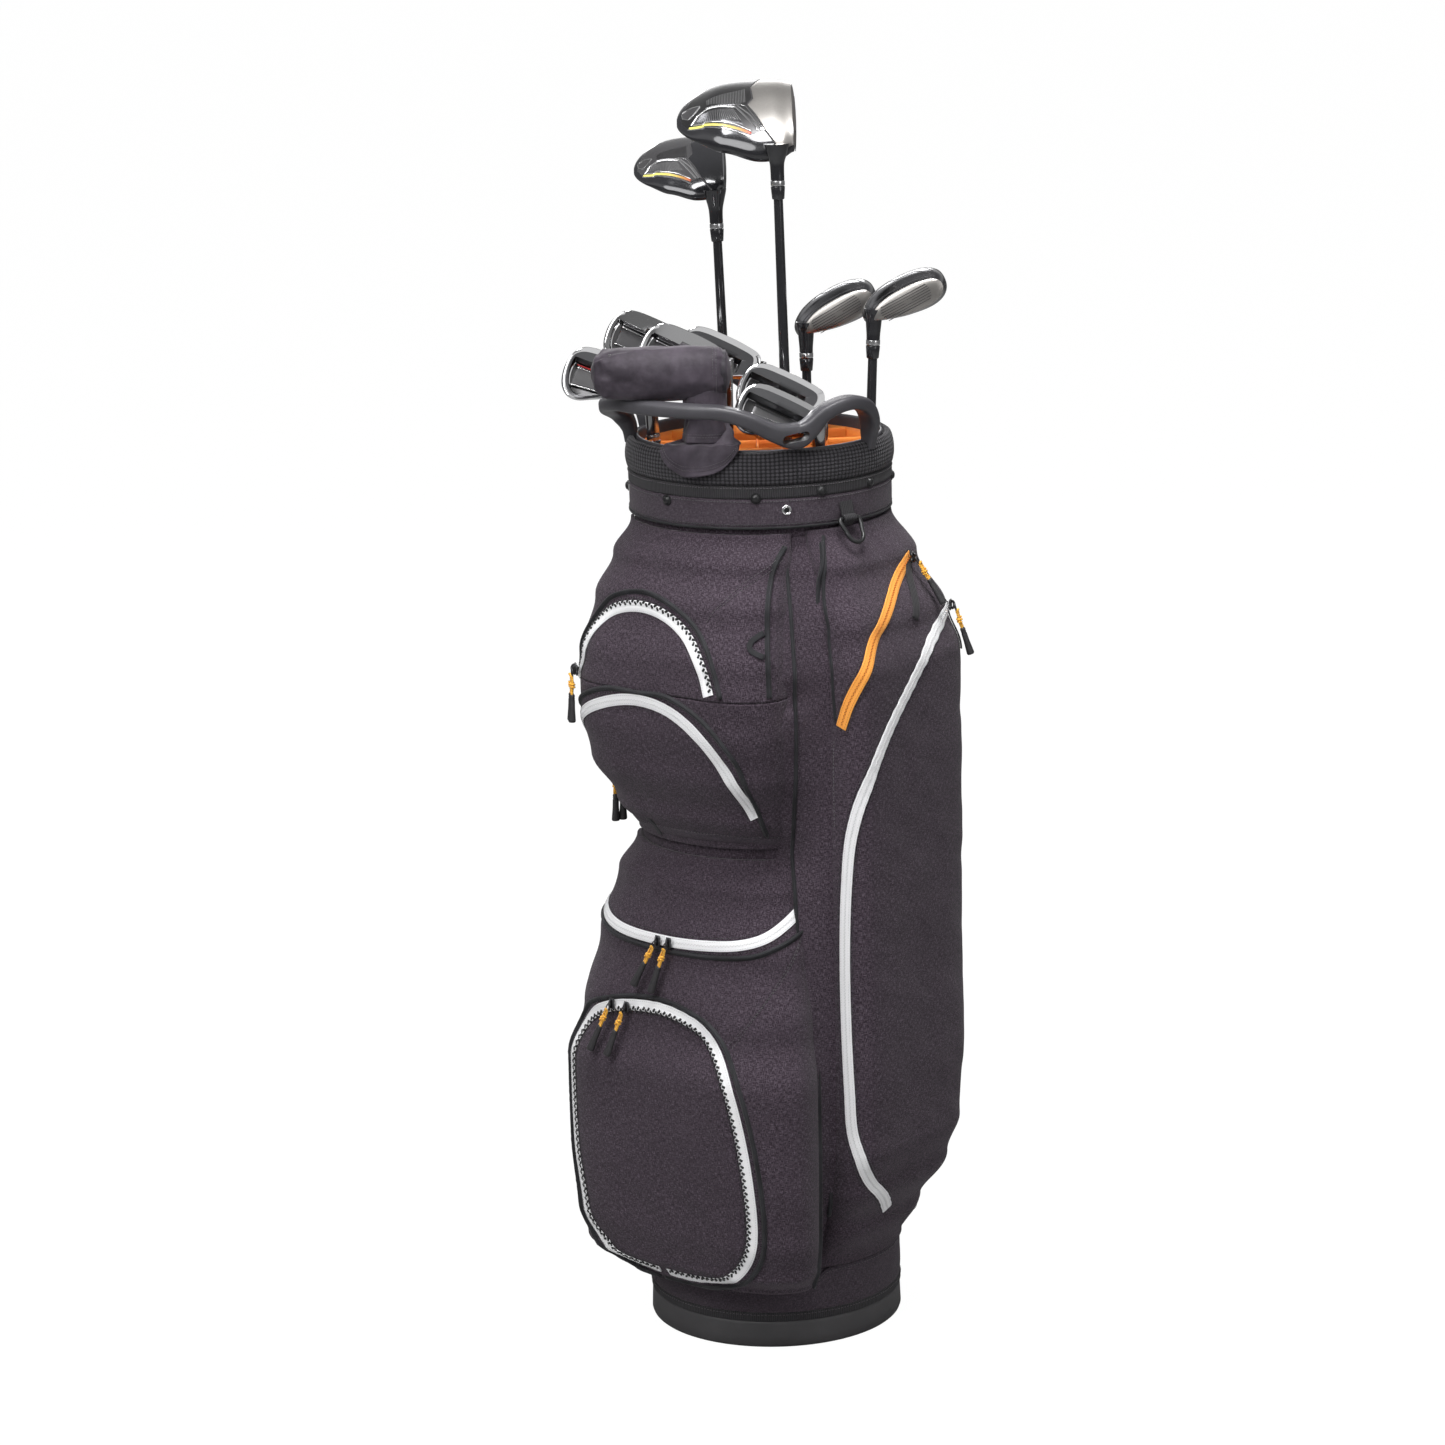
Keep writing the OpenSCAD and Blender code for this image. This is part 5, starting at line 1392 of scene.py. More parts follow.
def woodPoint(form, angle, t):
    # Head surface at a section angle and depth t: superellipse halves over and under the widest
    # line, the crown falling to the toe, and the heel side drawn in towards the back
    half = np.maximum(woodHalf(form, t), 3)
    top = form[2] * eased([[0, 0.86], [0.22, 1], [0.6, 0.82], [1, 0.42]], t)
    low = form[2] * (eased([[0, 0.06], [0.2, 0], [0.6, 0.03], [1, 0.3]], t) - form[8]
        * np.sin(np.pi * np.clip(t / 0.9, 0, 1)))
    middle = low + (top - low) * 0.42
    c, s = np.cos(angle), np.sin(angle)
    side = np.where(c < 0, eased([[0, 0.84], [0.1, 0.95], [0.3, 0.97], [0.6, 0.84], [0.85, 0.72], [1, 0.7]], t), 1.04)
    x = form[0] / 2 - form[7] + half * side * superCurve(c, form[6])
    lift = 0.4 * (top - middle) * (1 - c)
    z = middle + np.where(s > 0, (top - middle) * abs(s) ** form[6] - lift * s, -(middle - low) * abs(s) ** form[6])
    return np.stack(np.broadcast_arrays(x, form[3] - form[1] * t, z), -1)


def soleAt(form, q, t, lift=0.0):
    # Sole surface at share q across (-1 heel, 1 toe) and depth t, lifted off along its normal
    def here(q, t):
        # The surface under share q and depth t
        q = np.clip(q, -0.999, 0.999)
        c = np.sign(q) * abs(q) ** (1 / form[6])
        return woodPoint(form, -np.arccos(np.clip(c, -1, 1)), np.clip(t, 0.002, 0.997))
    q, t = np.asarray(q, float), np.asarray(t, float)
    normal = unit(np.cross(here(q + 0.02, t) - here(q - 0.02, t), here(q, t + 0.01) - here(q, t - 0.01)))
    normal = normal * np.where(normal[..., 2:] > 0, -1, 1)
    return here(q, t) + normal * np.asarray(lift)[..., None]


def solePanel(part, wood, first, second, lift, material, rows=10, cols=70, depth=1.6):
    # Thin plate on the sole between two edges, each a route of [depth, share across]
    club, form, lie = wood
    a, b = evenly(np.array(first, float), cols), evenly(np.array(second, float), cols)
    r = np.linspace(0, 1, rows)[:, None, None]
    at = a[None] * (1 - r) + b[None] * r
    edge = np.minimum(np.minimum(r[..., 0], 1 - r[..., 0]) * rows / 1.2,
        np.minimum(np.arange(cols), np.arange(cols)[::-1])[None] / 1.2)
    rise = lift * np.clip(edge, 0.35, 1) ** 0.5
    front = soleAt(form, at[..., 1], at[..., 0], rise)
    back = soleAt(form, at[..., 1], at[..., 0], -depth)
    return shellPiece(club + part, onClub(club, lie, front), onClub(club, lie, back), club, material, sharp=35)


def soleStrip(part, wood, route, width, lift, material, slot, count=90):
    # Raised line on the sole along a route of [depth, share across], width in millimetres
    club, form, lie = wood
    line = evenly(np.array(route, float), count)
    path = soleAt(form, line[:, 1], line[:, 0], 0.0)
    normal = unit(soleAt(form, line[:, 1], line[:, 0], 1.0) - path)
    h = width / 2
    section = [(-h, -1.2), (-h, lift * 0.6), (-h * 0.6, lift), (h * 0.6, lift), (h, lift * 0.6), (h, -1.2)]
    grid = sweep(path, np.array(section)[::-1], normal)
    return gridPiece(club + part, onClub(club, lie, grid), club, material, slot, ring=True, caps="se", sharp=50)


def makeHosel(club, lie, length, foot, material, slot, profile=None):
    # Hosel as a turned sleeve with a flared foot, hollow above for the shaft's tip; a bright
    # ring and its black collar lie below the ferrule
    tip = shaftTip / 2 + 0.15
    outer = profile or [(foot, 9), (foot * 0.93, 13), (foot * 0.8, 19), (7.3, 27), (6.7, 34), (6.6, length - 7)]
    outer = [tuple(p) for p in smoothRoute(outer, 24)] + [(6.6, length - 6.2), (6.2, length - 5.9),
        (6.2, length - 0.6), (5.9, length - 0.1), (tip, length - 0.1)]
    inner = [(tip, length - hoselDepth), (0.01, length - hoselDepth)]
    ring = lathe([(0.01, 9)] + outer + inner, 40)
    ring = turned(ring, "Y", lie - 90)
    piece = gridPiece(club + "Hosel", onClub(club, lie, ring), club, material, slot, ring=True, sharp=40)
    band = lathe([(6.25, length - 5.7), (6.75, length - 5.5), (6.85, length - 5.1), (6.85, length - 1.2),
        (6.75, length - 0.8), (6.25, length - 0.6)], 40)
    gridPiece(club + "Band", onClub(club, lie, turned(band, "Y", lie - 90)), club, snapSilver, slot, ring=True,
        loop=True, sharp=30)
    return piece


def makeWood(club, kind, material, slot, faceMaterial):
    # Head: a domed face, the sections, and a closed back, on a fine grid
    form = woodSet[kind]
    lie, cols = form[5], 128
    a = fullTurn(cols)[None]
    t = (1 - (1 - np.linspace(0, 1, 72)) ** 1.5)[:, None]
    body = woodPoint(form, a, np.clip(t, 0, 0.997))
    rim = body[0]
    centre = rim.mean(0)
    s = np.linspace(0, 1, 14)[:, None, None]
    face = centre + (rim - centre)[None] * s * (1 - 0.02 * (s > 0.95))
    bulge = 2.4 * (1 - s[..., 0] ** 2) + 0.9 * (1 - s[..., 0] ** 12)
    face[..., 1] = form[3] + bulge
    face[-1] = rim
    grid = np.concatenate([face[1:-1], body])
    zones = np.concatenate([np.zeros(12, int), np.full(len(body), 1)])[:len(grid)]
    head = gridPiece(club + "Head", onClub(club, lie, grid), club, [faceMaterial, material], slot, ring=True,
        caps="se", sharp=38, zones=zones)
    head.data.materials[0] = faceMaterial
    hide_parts(club + "_head")
    # score lines: shallow dark cuts across the face
    isHybrid = kind == "hybrid"
    half = form[0] * (0.3 if isHybrid else 0.24)
    lines = []
    for level in np.linspace(form[2] * 0.22, form[2] * (0.58 if isHybrid else 0.66), 7 if isHybrid else 9):
        for side in ((-1, 1),) if isHybrid else ((-1, -0.36), (0.36, 1)):
            short = np.sqrt(max(0.1, 1 - ((level - centre[2]) / (form[2] * 0.42)) ** 2)) if isHybrid else 1
            x = form[0] / 2 - form[7] + np.array(side) * half * short + (2 if isHybrid else 0)
            path = np.stack([np.linspace(x[0], x[1], 12), np.zeros(12), np.full(12, level)], 1)
            reach = np.linalg.norm((path[:, [0, 2]] - centre[[0, 2]]) / (half * 2.1, form[2] * 0.55), axis=1)
            path[:, 1] = form[3] + 2.4 * (1 - np.minimum(reach * 1.08, 1) ** 2) + 0.82
            lines.append(sweep(path, [(-0.32, -0.5), (-0.32, 0.06), (0.32, 0.06), (0.32, -0.5)], (0, 1, 0)))
    joinGrids(club + "Scores", onClub(club, lie, np.array(lines)), club, softBlack, ring=True)
    makeHosel(club, lie, form[4], {"driver": 12.5, "fairway": 11.5, "hybrid": 10}[kind], blackGloss, slot)
    return club, form, lie


def dressSole(club, kind, tones):
    # Plates and lines of the sole, as routes of [depth, share across]
    form = woodSet[kind]
    lie, slot = form[5], tones["slot"]
    wood = (club, form, lie)
    zig = [[0.255, 0.95], [0.36, 0.55], [0.35, 0.42], [0.342, 0.2], [0.39, 0.06], [0.32, -0.22], [0.245, -0.58],
        [0.18, -0.8], [0.125, -0.96]]
    front = [[0.004, 0.97], [0.004, 0.5], [0.004, 0], [0.004, -0.5], [0.004, -0.97]]
    solePanel("Toe", wood, front, [[t - 0.008, q] for t, q in zig], 0.5, tones["face"], rows=26, cols=110)
    toBack = [[0.3, 0.93], [0.5, 0.93], [0.7, 0.9], [0.88, 0.8], [0.955, 0.5]]
    toHeel = [[0.27, -0.6], [0.4, -0.72], [0.6, -0.6], [0.76, -0.62], [0.9, -0.62], [0.955, -0.2]]
    solePanel("Plate", wood, toBack, toHeel, 0.25, tones["plate"], rows=44, cols=90)
    soleStrip("Zig", wood, zig, 1.5, 0.62, softBlack, slot)

    def soleBars(part, lines, section, rise, top):
        # Fine bars along short lines of (depth, share across), square to the sole
        bars = []
        for line in lines:
            low = soleAt(form, line[:, 1], line[:, 0], rise)
            bars.append(sweep(low, section, unit(soleAt(form, line[:, 1], line[:, 0], top) - low)))
        joinGrids(club + part, onClub(club, lie, np.array(bars)), club, tones[part.lower()], ring=True,
            sharp=30)

    # ribbed plate towards the toe: fine bars across it
    lines = [np.stack([np.full(9, t), np.linspace(0.115 + (0.1 * max(0, t - 0.6) / 0.14),
        0.5 - 0.36 * max(0, (t - 0.4)) ** 0.9, 9)], 1) for t in np.arange(0.405, 0.735, 0.0135)]
    soleBars("Bars", lines, [(-0.42, -0.6), (-0.3, 0.42), (0.3, 0.42), (0.42, -0.6)], 0.2, 1.2)
    # dark diagonal plate inside its bright frame, with slanted bars
    solePanel("Inset", wood, [[0.775, -0.02], [0.72, 0.02], [0.6, -0.02], [0.505, -0.05]],
        [[0.86, -0.36], [0.72, -0.38], [0.58, -0.4], [0.43, -0.47]], 0.45, tones["inset"], rows=16, cols=60)
    lines = [evenly(np.array([[0.79 - 0.285 * k, -0.03], [0.855 - 0.42 * k, -0.37]]), 8)
        for k in np.arange(0.02, 0.98, 0.045)]
    soleBars("Slants", lines, [(-0.4, -0.5), (-0.25, 0.35), (0.25, 0.35), (0.4, -0.5)], 0.45, 1.4)
    frameLines = {"FrameA": ([[0.875, -0.42], [0.82, -0.02], [0.73, 0.09], [0.6, 0.06], [0.49, 0.03], [0.4, -0.28],
        [0.3, -0.6]], 1.5), "FrameB": ([[0.47, 0.05], [0.36, -0.24], [0.27, -0.6]], 1.2),
        "FrameC": ([[0.745, 0.125], [0.6, 0.1], [0.45, 0.09], [0.4, 0.02], [0.33, -0.28], [0.25, -0.6]], 0.9),
        "FrameD": ([[0.86, -0.43], [0.77, -0.46], [0.75, -0.4], [0.6, -0.42], [0.5, -0.46], [0.36, -0.6]], 1.4),
        "FrameE": ([[0.9, -0.66], [0.78, -0.63], [0.755, -0.58], [0.6, -0.6], [0.45, -0.67], [0.35, -0.74]], 0.8)}
    for part, (route, width) in frameLines.items():
        soleStrip(part, wood, route, width * 1.25, 0.8, tones["line"], slot)
    soleStrip("Accent", wood, [[0.89, -0.57], [0.78, -0.555], [0.757, -0.5], [0.6, -0.52], [0.45, -0.59],
        [0.36, -0.66]], 2.8, 0.6, tones["accent"], slot)
    # small bare badge near the back, in a bright rim
    solePanel("Badge", wood, [[0.955, 0.45], [0.88, 0.42], [0.8, 0.3]], [[0.95, 0.1], [0.925, 0.02], [0.9, 0.0]], 0.5,
        softBlack, rows=10, cols=24)
    soleStrip("BadgeRim", wood, [[0.95, 0.5], [0.88, 0.46], [0.79, 0.3], [0.9, -0.03], [0.945, 0.1], [0.955, 0.45]],
        1.0, 0.7, tones["line"], slot)


def accentPaint(name, club):
    # Enamel that turns from yellow to red along the sole line
    material, tree, shader = newMaterial(name, (0.8, 0.6, 0.1), 0.25, Coat_Weight=0.5)
    low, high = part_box(club + "_head")
    run = addNode(tree, "ShaderNodeSeparateXYZ", {0: place(tree, "Object")})
    across = around(1, wellSet["turn"], 0)
    share = plus(tree, times(tree, run.outputs["X"], float(across[0])),
        times(tree, run.outputs["Y"], float(across[1])))
    centre = (low + high) / 2
    offset = float(centre.x * across[0] + centre.y * across[1])
    share = addMath(tree, "MULTIPLY_ADD", addMath(tree, "SUBTRACT", share, offset), 11.0, 0.5)
    tone = addRamp(tree, share, [(0.12, (0.68, 0.62, 0.16)), (0.34, (0.6, 0.42, 0.1)), (0.5, (0.45, 0.06, 0.04)),
        (0.8, (0.35, 0.03, 0.03))])
    tint(tree, shader, addMix(tree, times(tree, noise(tree, place(tree, "Object"), 40), 0.15), tone,
        (0.1, 0.02, 0.01)))
    return material


makeWood("driver", "driver", blackGloss, "driver_metal", brushedFace)
dressSole("driver", "driver", {"slot": "driver_metal", "face": brushedFace, "plate": satinDark, "bars": snapSilver,
    "inset": darkChrome, "slants": snapSilver, "line": chrome, "accent": accentPaint("driverAccent", "driver")})
makeWood("fairway", "fairway", blackGloss, "black_metal", darkChrome)
dressSole("fairway", "fairway", {"slot": "black_metal", "face": blackGloss, "plate": softBlack, "bars": satinDark,
    "inset": softBlack, "slants": snapSilver, "line": chrome, "accent": accentPaint("fairwayAccent", "fairway")})
for club in ("hybrid4", "hybrid5"):
    wood = makeWood(club, "hybrid", blackGloss, "hybrid_metal", brushedFace)
    solePanel("Plate", wood, [[0.02, 0.9], [0.3, 0.9], [0.6, 0.85], [0.92, 0.5]],
        [[0.02, -0.8], [0.3, -0.75], [0.6, -0.6], [0.92, -0.2]], 0.35, darkChrome, rows=30, cols=70)
    for k, (route, width) in enumerate([([[0.12, 0.8], [0.3, 0.5], [0.26, 0.1], [0.36, -0.1], [0.3, -0.6]], 1.2),
            ([[0.42, 0.7], [0.5, 0.2], [0.7, 0.0], [0.6, -0.5]], 1.0), ([[0.2, 0.85], [0.55, 0.6], [0.85, 0.3]], 0.9),
            ([[0.62, 0.62], [0.58, 0.3], [0.78, 0.1]], 0.9), ([[0.06, 0.88], [0.05, 0.0], [0.06, -0.8]], 1.0)]):
        soleStrip(f"Line{k}", wood, route, width, 0.6, satinDark if k % 2 else softBlack, "hybrid_metal")
print("woods made")

# Irons and putter
ironSet = {"lie": 63, "hosel": 64, "width": 78, "centre": (37, 27),
    "outline": [[4, 2], [18, 0.4], [30, 0], [45, 0.4], [58, 1.5], [68, 5], [75, 14], [77, 28], [74, 44], [66, 54],
    [55, 55], [42, 48.5], [30, 42], [10, 31], [2, 28], [-4, 16], [-2, 6]],
    "lofts": {"iron6": 26, "iron7": 29, "iron8": 33, "iron9": 38, "pitching_wedge": 43, "sand_wedge": 48}}


def bladeOutline(count):
    # Blade's outline as (x, z), closed and smooth, as count points
    points = [[x * ironSet["width"] / 76, z] for x, z in ironSet["outline"]]
    ring = points[-2:] + points + points[:3]
    fine = smoothRoute(ring, 2000)
    start = np.argmin(np.linalg.norm(fine[:700] - points[0], axis=1))
    end = 1200 + np.argmin(np.linalg.norm(fine[1200:] - points[0], axis=1))
    return evenly(fine[start:end + 1], count + 1)[:-1]


def makeIron(club, cavity, rimMaterial, backMaterial, floorMaterial, badge):
    # Blade from nested outlines: face, rounded edge, back rim, cavity wall and floor. The
    # thickness grows from the top line to the sole
    lie, loft = ironSet["lie"], ironSet["lofts"][club]
    cols = 140
    edge = bladeOutline(cols)
    cx, cz = ironSet["centre"]
    centre = np.array([cx, cz])
    grow = np.maximum(0, 1 - edge[:, 1] / 52)
    thick = 4.2 + 13 * grow
    wall = centre + (edge - centre) * 0.985 + np.array([0, 0.7])
    inset = np.stack([np.clip(cx + (edge[:, 0] - cx) * 0.88, 15, 74),
        np.maximum(cz + (edge[:, 1] - cz) * 0.86, 17.0)], 1)
    floor = centre + (inset - centre) * 0.95 + np.array([0, 0.4])
    ring = lambda xz, y: np.stack([xz[:, 0], np.broadcast_to(y, cols), xz[:, 1]], 1)
    mix = lambda a, b, k: a + (b - a) * k
    rows = [ring(mix(centre[None] * np.ones((cols, 1)), edge, k), 0.0) for k in (0.15, 0.4, 0.7, 0.9)]
    rows += [ring(mix(centre, edge, 0.985), 0.0), ring(mix(centre, edge, 0.997), -0.25), ring(edge, -0.9)]
    rows += [ring(mix(edge, wall, k), -0.9 - (thick - 1.5 - 0.9) * k) for k in (0.3, 0.65, 1.0)]
    rows += [ring(mix(centre, wall, 0.992), -thick + 0.35), ring(mix(centre, wall, 0.972), -thick)]
    innerThick = 4.2 + 13 * np.maximum(0, 1 - inset[:, 1] / 52)
    rows += [ring(mix(wall * 0.972 + centre * 0.028, inset, k), -(thick + (innerThick - thick) * k))
        for k in (0.35, 0.7, 0.97)]
    rows += [ring(inset, -innerThick + 0.4), ring(floor, -cavity - 0.5), ring(mix(centre, floor, 0.97), -cavity)]
    rows += [ring(mix(centre, floor, k), -cavity) for k in (0.7, 0.4, 0.15)]
    zones = [0] * 5 + [1] * 7 + [2] * 4 + [1] * 1 + [3] * 6
    grid = np.array(rows)
    grid = turned(grid, "X", loft) + [0, 4, 0]
    head = gridPiece(club + "Head", onClub(club, lie, grid), club,
        [brushedFace, rimMaterial, backMaterial, floorMaterial], "iron_chrome", ring=True, caps="se", sharp=34,
        zones=np.array(zones[:len(grid)]))
    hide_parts(club + "_head")
    onBlade = lambda points: onClub(club, lie, turned(points, "X", loft) + [0, 4, 0])
    # face score lines
    lines = []
    for level in np.arange(8, 44, 3.6):
        path = np.stack([np.linspace(16 if level < 26 else 16 + (level - 26) * 1.2, 62, 6), np.full(6, 0.02),
            np.full(6, level)], 1)
        lines.append(sweep(path, [(-0.35, -0.4), (-0.35, 0.05), (0.35, 0.05), (0.35, -0.4)], (0, 1, 0)))
    joinGrids(club + "Scores", onBlade(np.array(lines)), club, softBlack, ring=True)
    # badge in the cavity: raised plate with a coloured lower line, left bare
    x0, x1 = badge["x"]
    z0, z1 = badge["z"]
    u, v = np.meshgrid(np.linspace(0, 1, 30), np.linspace(0, 1, 12))
    plan = np.stack([x0 + (x1 - x0) * u, np.full_like(u, -cavity - badge["lift"]), z0 + (z1 - z0 + 5 * u) * v], -1)
    plan[..., 1] -= 0.5 * np.sin(np.pi * u) ** 0.3 * np.sin(np.pi * v) ** 0.3
    under = plan.copy()
    under[..., 1] = -cavity + 0.4
    shellPiece(club + "Badge", onBlade(plan), onBlade(under), club, badge["material"], sharp=35)
    for k, (level, tone, thickness) in enumerate(badge["lines"]):
        path = np.stack([np.linspace(x0 - 1, x1 + 1, 20), np.full(20, -cavity - badge["lift"] - 0.3),
            z0 + (z1 - z0 + 5 * np.linspace(0, 1, 20)) * level], 1)
        bar = sweep(path, roundSection(thickness, 8), (0, -1, 0))
        gridPiece(f"{club}Line{k}", onBlade(bar), club, tone, "iron_chrome", ring=True, caps="se")
    # slender hosel with a short foot
    profile = [(7.6, 4), (7.4, 10), (6.9, 20), (6.6, 28), (6.5, 44), (6.5, ironSet["hosel"] - 7)]
    makeHosel(club, lie, ironSet["hosel"], 7.6, rimMaterial, "iron_chrome", profile)


# Badges: place across and up the cavity, rise, material, and lines at a share of the height
darkBadge = {"x": (22, 66), "z": (20, 34), "lift": 1.2, "material": softBlack,
    "lines": [(0.0, chrome, 0.7), (1.0, chrome, 0.7)]}
wedgeBadge = {"x": (24, 62), "z": (22, 28), "lift": 0.7, "material": satinDark,
    "lines": [(0.0, softBlack, 0.5), (1.0, chrome, 0.5)]}
badges = {"iron6": darkBadge, "iron7": darkBadge, "pitching_wedge": wedgeBadge, "sand_wedge": wedgeBadge,
    "iron8": {"x": (22, 66), "z": (20, 36), "lift": 1.0, "material": satinDark,
    "lines": [(0.0, softBlack, 0.6), (1.0, chrome, 0.6)]},
    "iron9": {"x": (22, 67), "z": (20, 38), "lift": 1.4, "material": softBlack,
    "lines": [(0.0, redPaint, 0.7), (0.12, chrome, 0.6), (1.0, chrome, 0.7)]}}
for club in ("iron6", "iron7", "iron8", "iron9"):
    makeIron(club, 2.6, chrome, satinChrome if club in ("iron8", "iron9") else chrome, satinDark, badges[club])
for club in ("pitching_wedge", "sand_wedge"):
    makeIron(club, 4.0, chrome, satinChrome, satinDark, badges[club])


putterSet = {"lie": 76, "hosel": 70}


def makePutter():
    # Blade putter under its cover: a rounded bar with a low flange behind, and a short hosel
    lie = putterSet["lie"]
    x = np.linspace(-5.6, 99.6, 60)
    section = np.array([(12, 0.6), (12, 19), (11.2, 20), (5, 20), (4.2, 19), (4.1, 8.2), (3.4, 7), (-12.6, 7),
        (-14, 6), (-14, 1), (-13.2, 0), (11.2, 0)], float)
    section = evenly(np.concatenate([section, section[:1]]), 61)[:-1]
    squeeze = np.clip(np.minimum(x - x[0], x[-1] - x) / 5, 0, 1) ** 0.5 * 0.12 + 0.88
    middle = np.array([0.0, 8.0])
    grid = np.stack([np.broadcast_to(x[:, None], (60, 60)),
        middle[0] + (section[None, :, 0] - middle[0]) * squeeze[:, None],
        middle[1] + (section[None, :, 1] - middle[1]) * squeeze[:, None]], -1)
    head = gridPiece("putterHead", onClub("putter", lie, grid), "putter", satinDark, "putter_metal", ring=True,
        caps="se", sharp=40)
    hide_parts("putter_head")
    makeHosel("putter", lie, putterSet["hosel"], 6.5, satinDark, "putter_metal",
        [(6.4, 7), (6.4, 20), (6.4, 40), (6.4, 63)])


makePutter()
print("irons made")

# Shafts and grips


def hoselLength(club):
    # Length of a club's hosel in millimetres
    if club in ironSet["lofts"]:
        return ironSet["hosel"]
    return putterSet["hosel"] if club == "putter" else woodSet["hybrid" if "hybrid" in club else club][4]


shaftFinish = {"graphite": graphitePaint, "steel_shaft": steelShaft, "grip_rubber": gripRubber}
for name, node in frame["nodes"].items():
    tone = shaftFinish.get(node.data.materials[0].name)
    if tone:
        node.material_slots[0].material = tone
for club in clubSet:
    # black ferrule over the top of the shaft, just below the head
    length = clubSet[club][4]
    hosel = hoselLength(club)
    z = length - hosel
    sleeve = lathe([(5.0, z - 12.2), (5.7, z - 12.4), (6.0, z - 11.8), (6.9, z - 0.6), (6.75, z - 0.15),
        (5.0, z - 0.15)], 32)
    gridPiece(club + "Ferrule", onClub(club, None, sleeve), club, blackGloss,
        "graphite" if hosel < 60 else "steel_shaft", ring=True, loop=True, sharp=40)
print("shafts and grips finished")

# Putter cover
coverSet = {"wide": (-17.5, 112.5), "across": (-21.5, 23.5), "deep": (-19, 26.5), "neck": (-16, 28, -19.5, 21.5),
    "hem": -62, "flap": -79}


def coverBody(rows=120, cols=96):
    # Soft sleeve over the head: rounded sections that gather at the far end and flatten at the
    # mouth, with folds that run in from the gathered end
    u = np.linspace(0, 1, rows)[:, None]
    a = fullTurn(cols)[None]
    x = coverSet["wide"][0] + (coverSet["wide"][1] - coverSet["wide"][0]) * u
    y0, y1 = coverSet["across"]
    z0, z1 = coverSet["deep"]
    full = eased([[0, 0.3], [0.035, 0.8], [0.1, 0.95], [0.3, 1.0], [0.72, 1.0], [0.9, 0.9], [0.965, 0.72], [1, 0.2]],
        u)
    power = 0.66
    c, s = np.cos(a), np.sin(a)
    y = (y0 + y1) / 2 + (y1 - y0) / 2 * superCurve(c, power) * full
    z = (z0 + z1) / 2 + (z1 - z0) / 2 * superCurve(s, power) * (full * 0.96 + 0.04)
    ripple = (1.1 * softNoise(u * 7 + 3, a * 1.9 + 0 * u, 71) + 0.6 * softNoise(u * 15, a * 4.1, 72) + 2.4
        * np.exp(-((u - 0.9) / 0.12) ** 2) * softNoise(u * 10 + 2, a * 3.2, 73))
    cy, cz = (y0 + y1) / 2, (z0 + z1) / 2
    r = np.maximum(np.hypot(y - cy, z - cz), 1)
    y, z = y + (y - cy) / r * ripple * full, z + (z - cz) / r * ripple * full
    return np.stack([x + 0 * a, y, z - 2.5 * np.sin(np.pi * u) * (z < cz)], -1)


def softened(piece, swell, frames=20, cap=0.010):
    # The sewn shape puffed by cloth pressure: remeshed, simulated for a few frames, with each
    # point's move capped, then smoothed once
    shape = piece.data
    rest = bpy.data.objects.new(piece.name + "Sim", shape.copy())
    scene.collection.objects.link(rest)
    voxel = rest.modifiers.new("remesh", "REMESH")
    voxel.mode, voxel.voxel_size = "VOXEL", 0.0026
    bpy.context.view_layer.update()
    mesh = bpy.data.meshes.new_from_object(rest.evaluated_get(bpy.context.evaluated_depsgraph_get()))
    rest.modifiers.clear()
    rest.data = mesh
    start = np.zeros(len(mesh.vertices) * 3)
    mesh.vertices.foreach_get("co", start)
    cloth = rest.modifiers.new("cloth", "CLOTH")
    cloth.settings.use_pressure = True
    cloth.settings.uniform_pressure_force = swell
    cloth.settings.tension_stiffness = 22
    cloth.settings.shear_stiffness = 8
    cloth.settings.bending_stiffness = 0.4
    cloth.settings.shrink_min = -0.035
    cloth.settings.effector_weights.gravity = 0
    for step in range(1, frames + 1):
        scene.frame_set(step)
    graph = bpy.context.evaluated_depsgraph_get()
    moved = bpy.data.meshes.new_from_object(rest.evaluated_get(graph))
    end = np.zeros(len(moved.vertices) * 3)
    moved.vertices.foreach_get("co", end)
    shift = (end - start).reshape(-1, 3)
    size = np.linalg.norm(shift, axis=1, keepdims=True)
    shift = shift * np.minimum(1, cap / np.maximum(size, 1e-9))
    moved.vertices.foreach_set("co", (start.reshape(-1, 3) + shift).ravel())
    moved.polygons.foreach_set("use_smooth", np.ones(len(moved.polygons), bool))
    moved.materials.clear()
    for one in shape.materials:
        moved.materials.append(one)
    piece.data = moved
    bpy.data.objects.remove(rest)
    scene.frame_set(1)


def onPutter(points):
    # Points about the putter's head, stood at the top of its shaft
    return onClub("putter", None, points + [0, 0, clubSet["putter"][4]])


def coverStitch(name, path, normals, radius=0.28):
    # Close stitch row on the cover
    stitchRow(name, path, normals, "putter", paleThread, pitch=2.6, length=1.7, radius=radius)


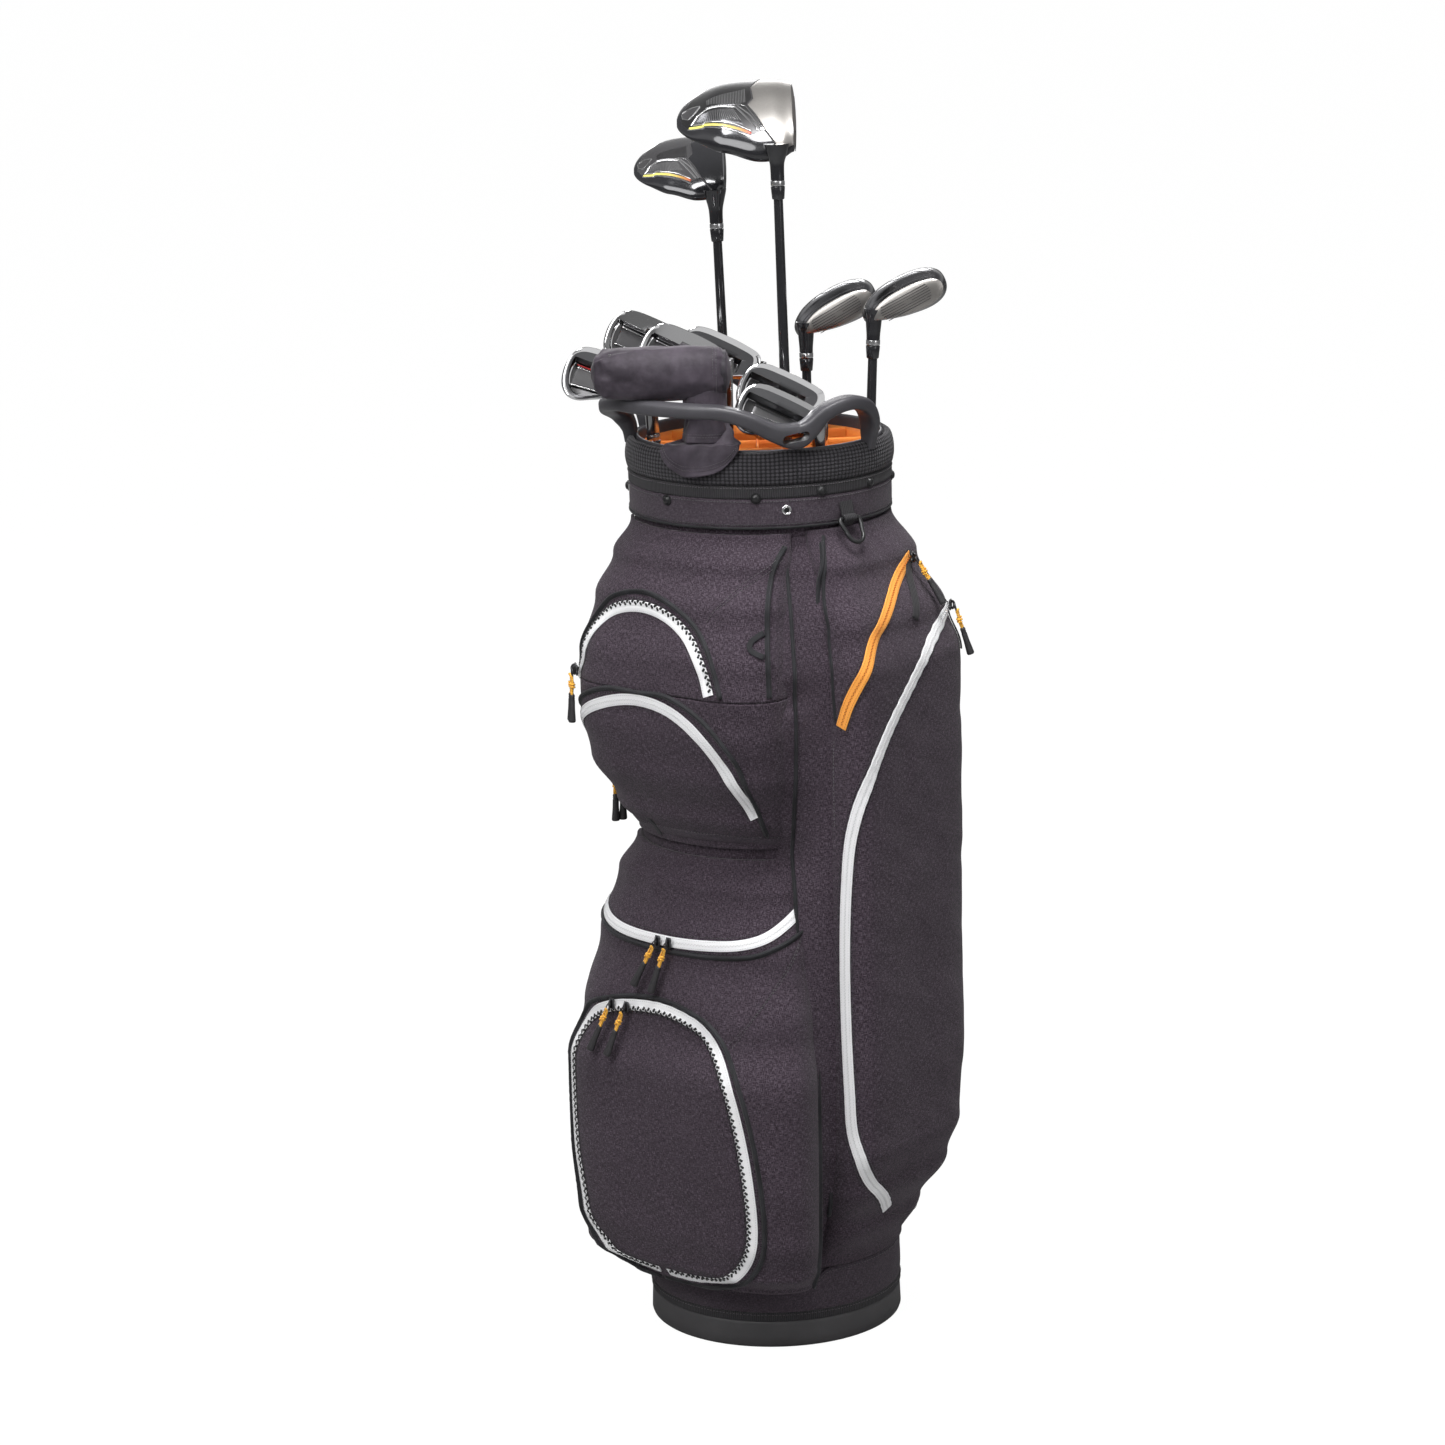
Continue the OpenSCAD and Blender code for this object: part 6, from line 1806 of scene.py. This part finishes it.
def makeCover():
    # Sleeve, binding and seams, then the neck and the flap folded over the collar
    body = gridPiece("putterCover", onPutter(coverBody()), "putter", coverCloth, "cover_fabric", ring=True, caps="se")
    softened(body, 5.0, cap=0.006)
    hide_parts("putter_cover")
    # rolled dark binding at the mouth end, with a double stitched seam beside it
    rings = coverBody()
    def hoop(row, grow):
        # One ring of the sleeve grown outwards and closed, with its outward directions
        centre = rings[row].mean(0)
        out = rings[row] - centre
        path = centre + out * (1 + grow / np.maximum(np.linalg.norm(out, axis=1, keepdims=True), 1))
        path = np.concatenate([path, path[:1]])
        return path, unit(path - centre)
    path, normals = hoop(5, 0.6)
    binding = sweep(path, boxySection(5.5, 1.6, 0.5, 14), normals)[:-1]
    gridPiece("coverBinding", onPutter(binding), "putter", coverDark, "cover_fabric", ring=True, loop=True)
    for row, name in ((11, "coverSeamA"), (14, "coverSeamB")):
        path, normals = hoop(row, 1.1)
        coverStitch(name, onPutter(path), onPutter(path + normals) - onPutter(path), 0.3)
    # neck: an open sleeve round the hosel, double walled, its hem folded and sewn
    x0, x1, y0, y1 = coverSet["neck"]
    a = fullTurn(96)[None]
    z = np.linspace(-12, coverSet["hem"], 60)[:, None]
    k = (z + 12) / (coverSet["hem"] + 12)
    spread = eased([[0, 0.95], [0.3, 0.9], [0.55, 0.84], [0.85, 0.97], [1, 1.0]], k)
    c, s = np.cos(a), np.sin(a)
    fold = 1.5 * softNoise(a * 2.6, k * 4 + 1, 81) + 1.0 * np.sin(7 * a + 4 * k) * np.sin(np.pi
        * np.clip(k, 0, 1)) ** 2
    half = np.array([(x1 - x0) / 2, (y1 - y0) / 2])
    px = (x0 + x1) / 2 + (half[0] * spread + fold) * superCurve(c, 0.75)
    py = (y0 + y1) / 2 + (half[1] * spread + fold) * superCurve(s, 0.75)
    outer = np.stack([px, py, z + 0 * a], -1)
    middle = np.array([(x0 + x1) / 2, (y0 + y1) / 2, 0])
    inner = middle + (outer - middle) * [0.94, 0.94, 1]
    sleeve = np.concatenate([outer, (outer[-1:] + inner[-1:]) / 2 - [0, 0, 0.8], inner[::-1]])
    neck = gridPiece("coverNeck", onPutter(sleeve), "putter", coverCloth, "cover_fabric", ring=True, loop=True)
    for i, row in enumerate((50, 53)):
        ring = np.concatenate([outer[row], outer[row][:1]])
        normals = unit((ring - middle) * [1, 1, 0])
        coverStitch(f"coverHem{i}", onPutter(ring + normals * 0.2),
            turned(turned(normals, "Z", clubSet["putter"][3]), "Z", wellSet["turn"]))
    # open end of the sleeve, folded out over the collar: it narrows into the neck, crosses the
    # collar's top and hangs in front, with soft folds that grow to its hem
    v, u = np.meshgrid(np.linspace(0, 1, 60), np.linspace(-1, 1, 90), indexing="ij")
    run = smoothRoute([(98, 932), (104, 924), (113, 913), (122, 908.5), (130, 907), (134.5, 900), (135.5, 890),
        (135.8, 879)], 60)
    wide = eased([[0, 18], [0.35, 29], [0.7, 41], [1, 42]], v)
    hang = np.clip((v - 0.45) / 0.55, 0, 1)
    share = v * (1 - 0.3 * np.abs(u) ** 3)  # rounded lower corners
    radius, height = (np.interp(share, np.linspace(0, 1, 60), run[:, k]) for k in (0, 1))
    fold = 1.5 * softNoise(u * 3.4 + 9, v * 2.2, 91) + 0.9 * np.sin(u * 11 + 3 * v)
    radius = radius + np.minimum(fold * (0.35 + 0.5 * v), 1.8) + 1.6 * np.sin(u * 5 + 1) * hang - 2.2 * (u ** 2) * v
    angle = coverSet["flap"] + np.degrees(wide * u / 130) + 2.0 * (1 - v)
    height = height + fold * 1.1 * (1 - hang) + 5 * hang * np.clip(u + 0.3, 0, 1.4)
    low = around(radius, angle, height)
    normal = unit(np.cross(np.gradient(low, axis=1), np.gradient(low, axis=0)))
    normal = normal * np.sign((normal * low * [1, 1, 0]).sum(-1, keepdims=True) + 1e-9)
    thick = 0.9 + 0.7 * np.exp(-((v - 0.985) / 0.03) ** 2)[..., None]
    flap = shellPiece("coverFlap", low + normal * thick, low - normal * 0.5, "putter", coverCloth)
    for i, row in enumerate((51, 54)):
        path = (low + normal * 1.3)[row]
        coverStitch(f"flapHem{i}", path, normal[row])


makeCover()
print("cover made")
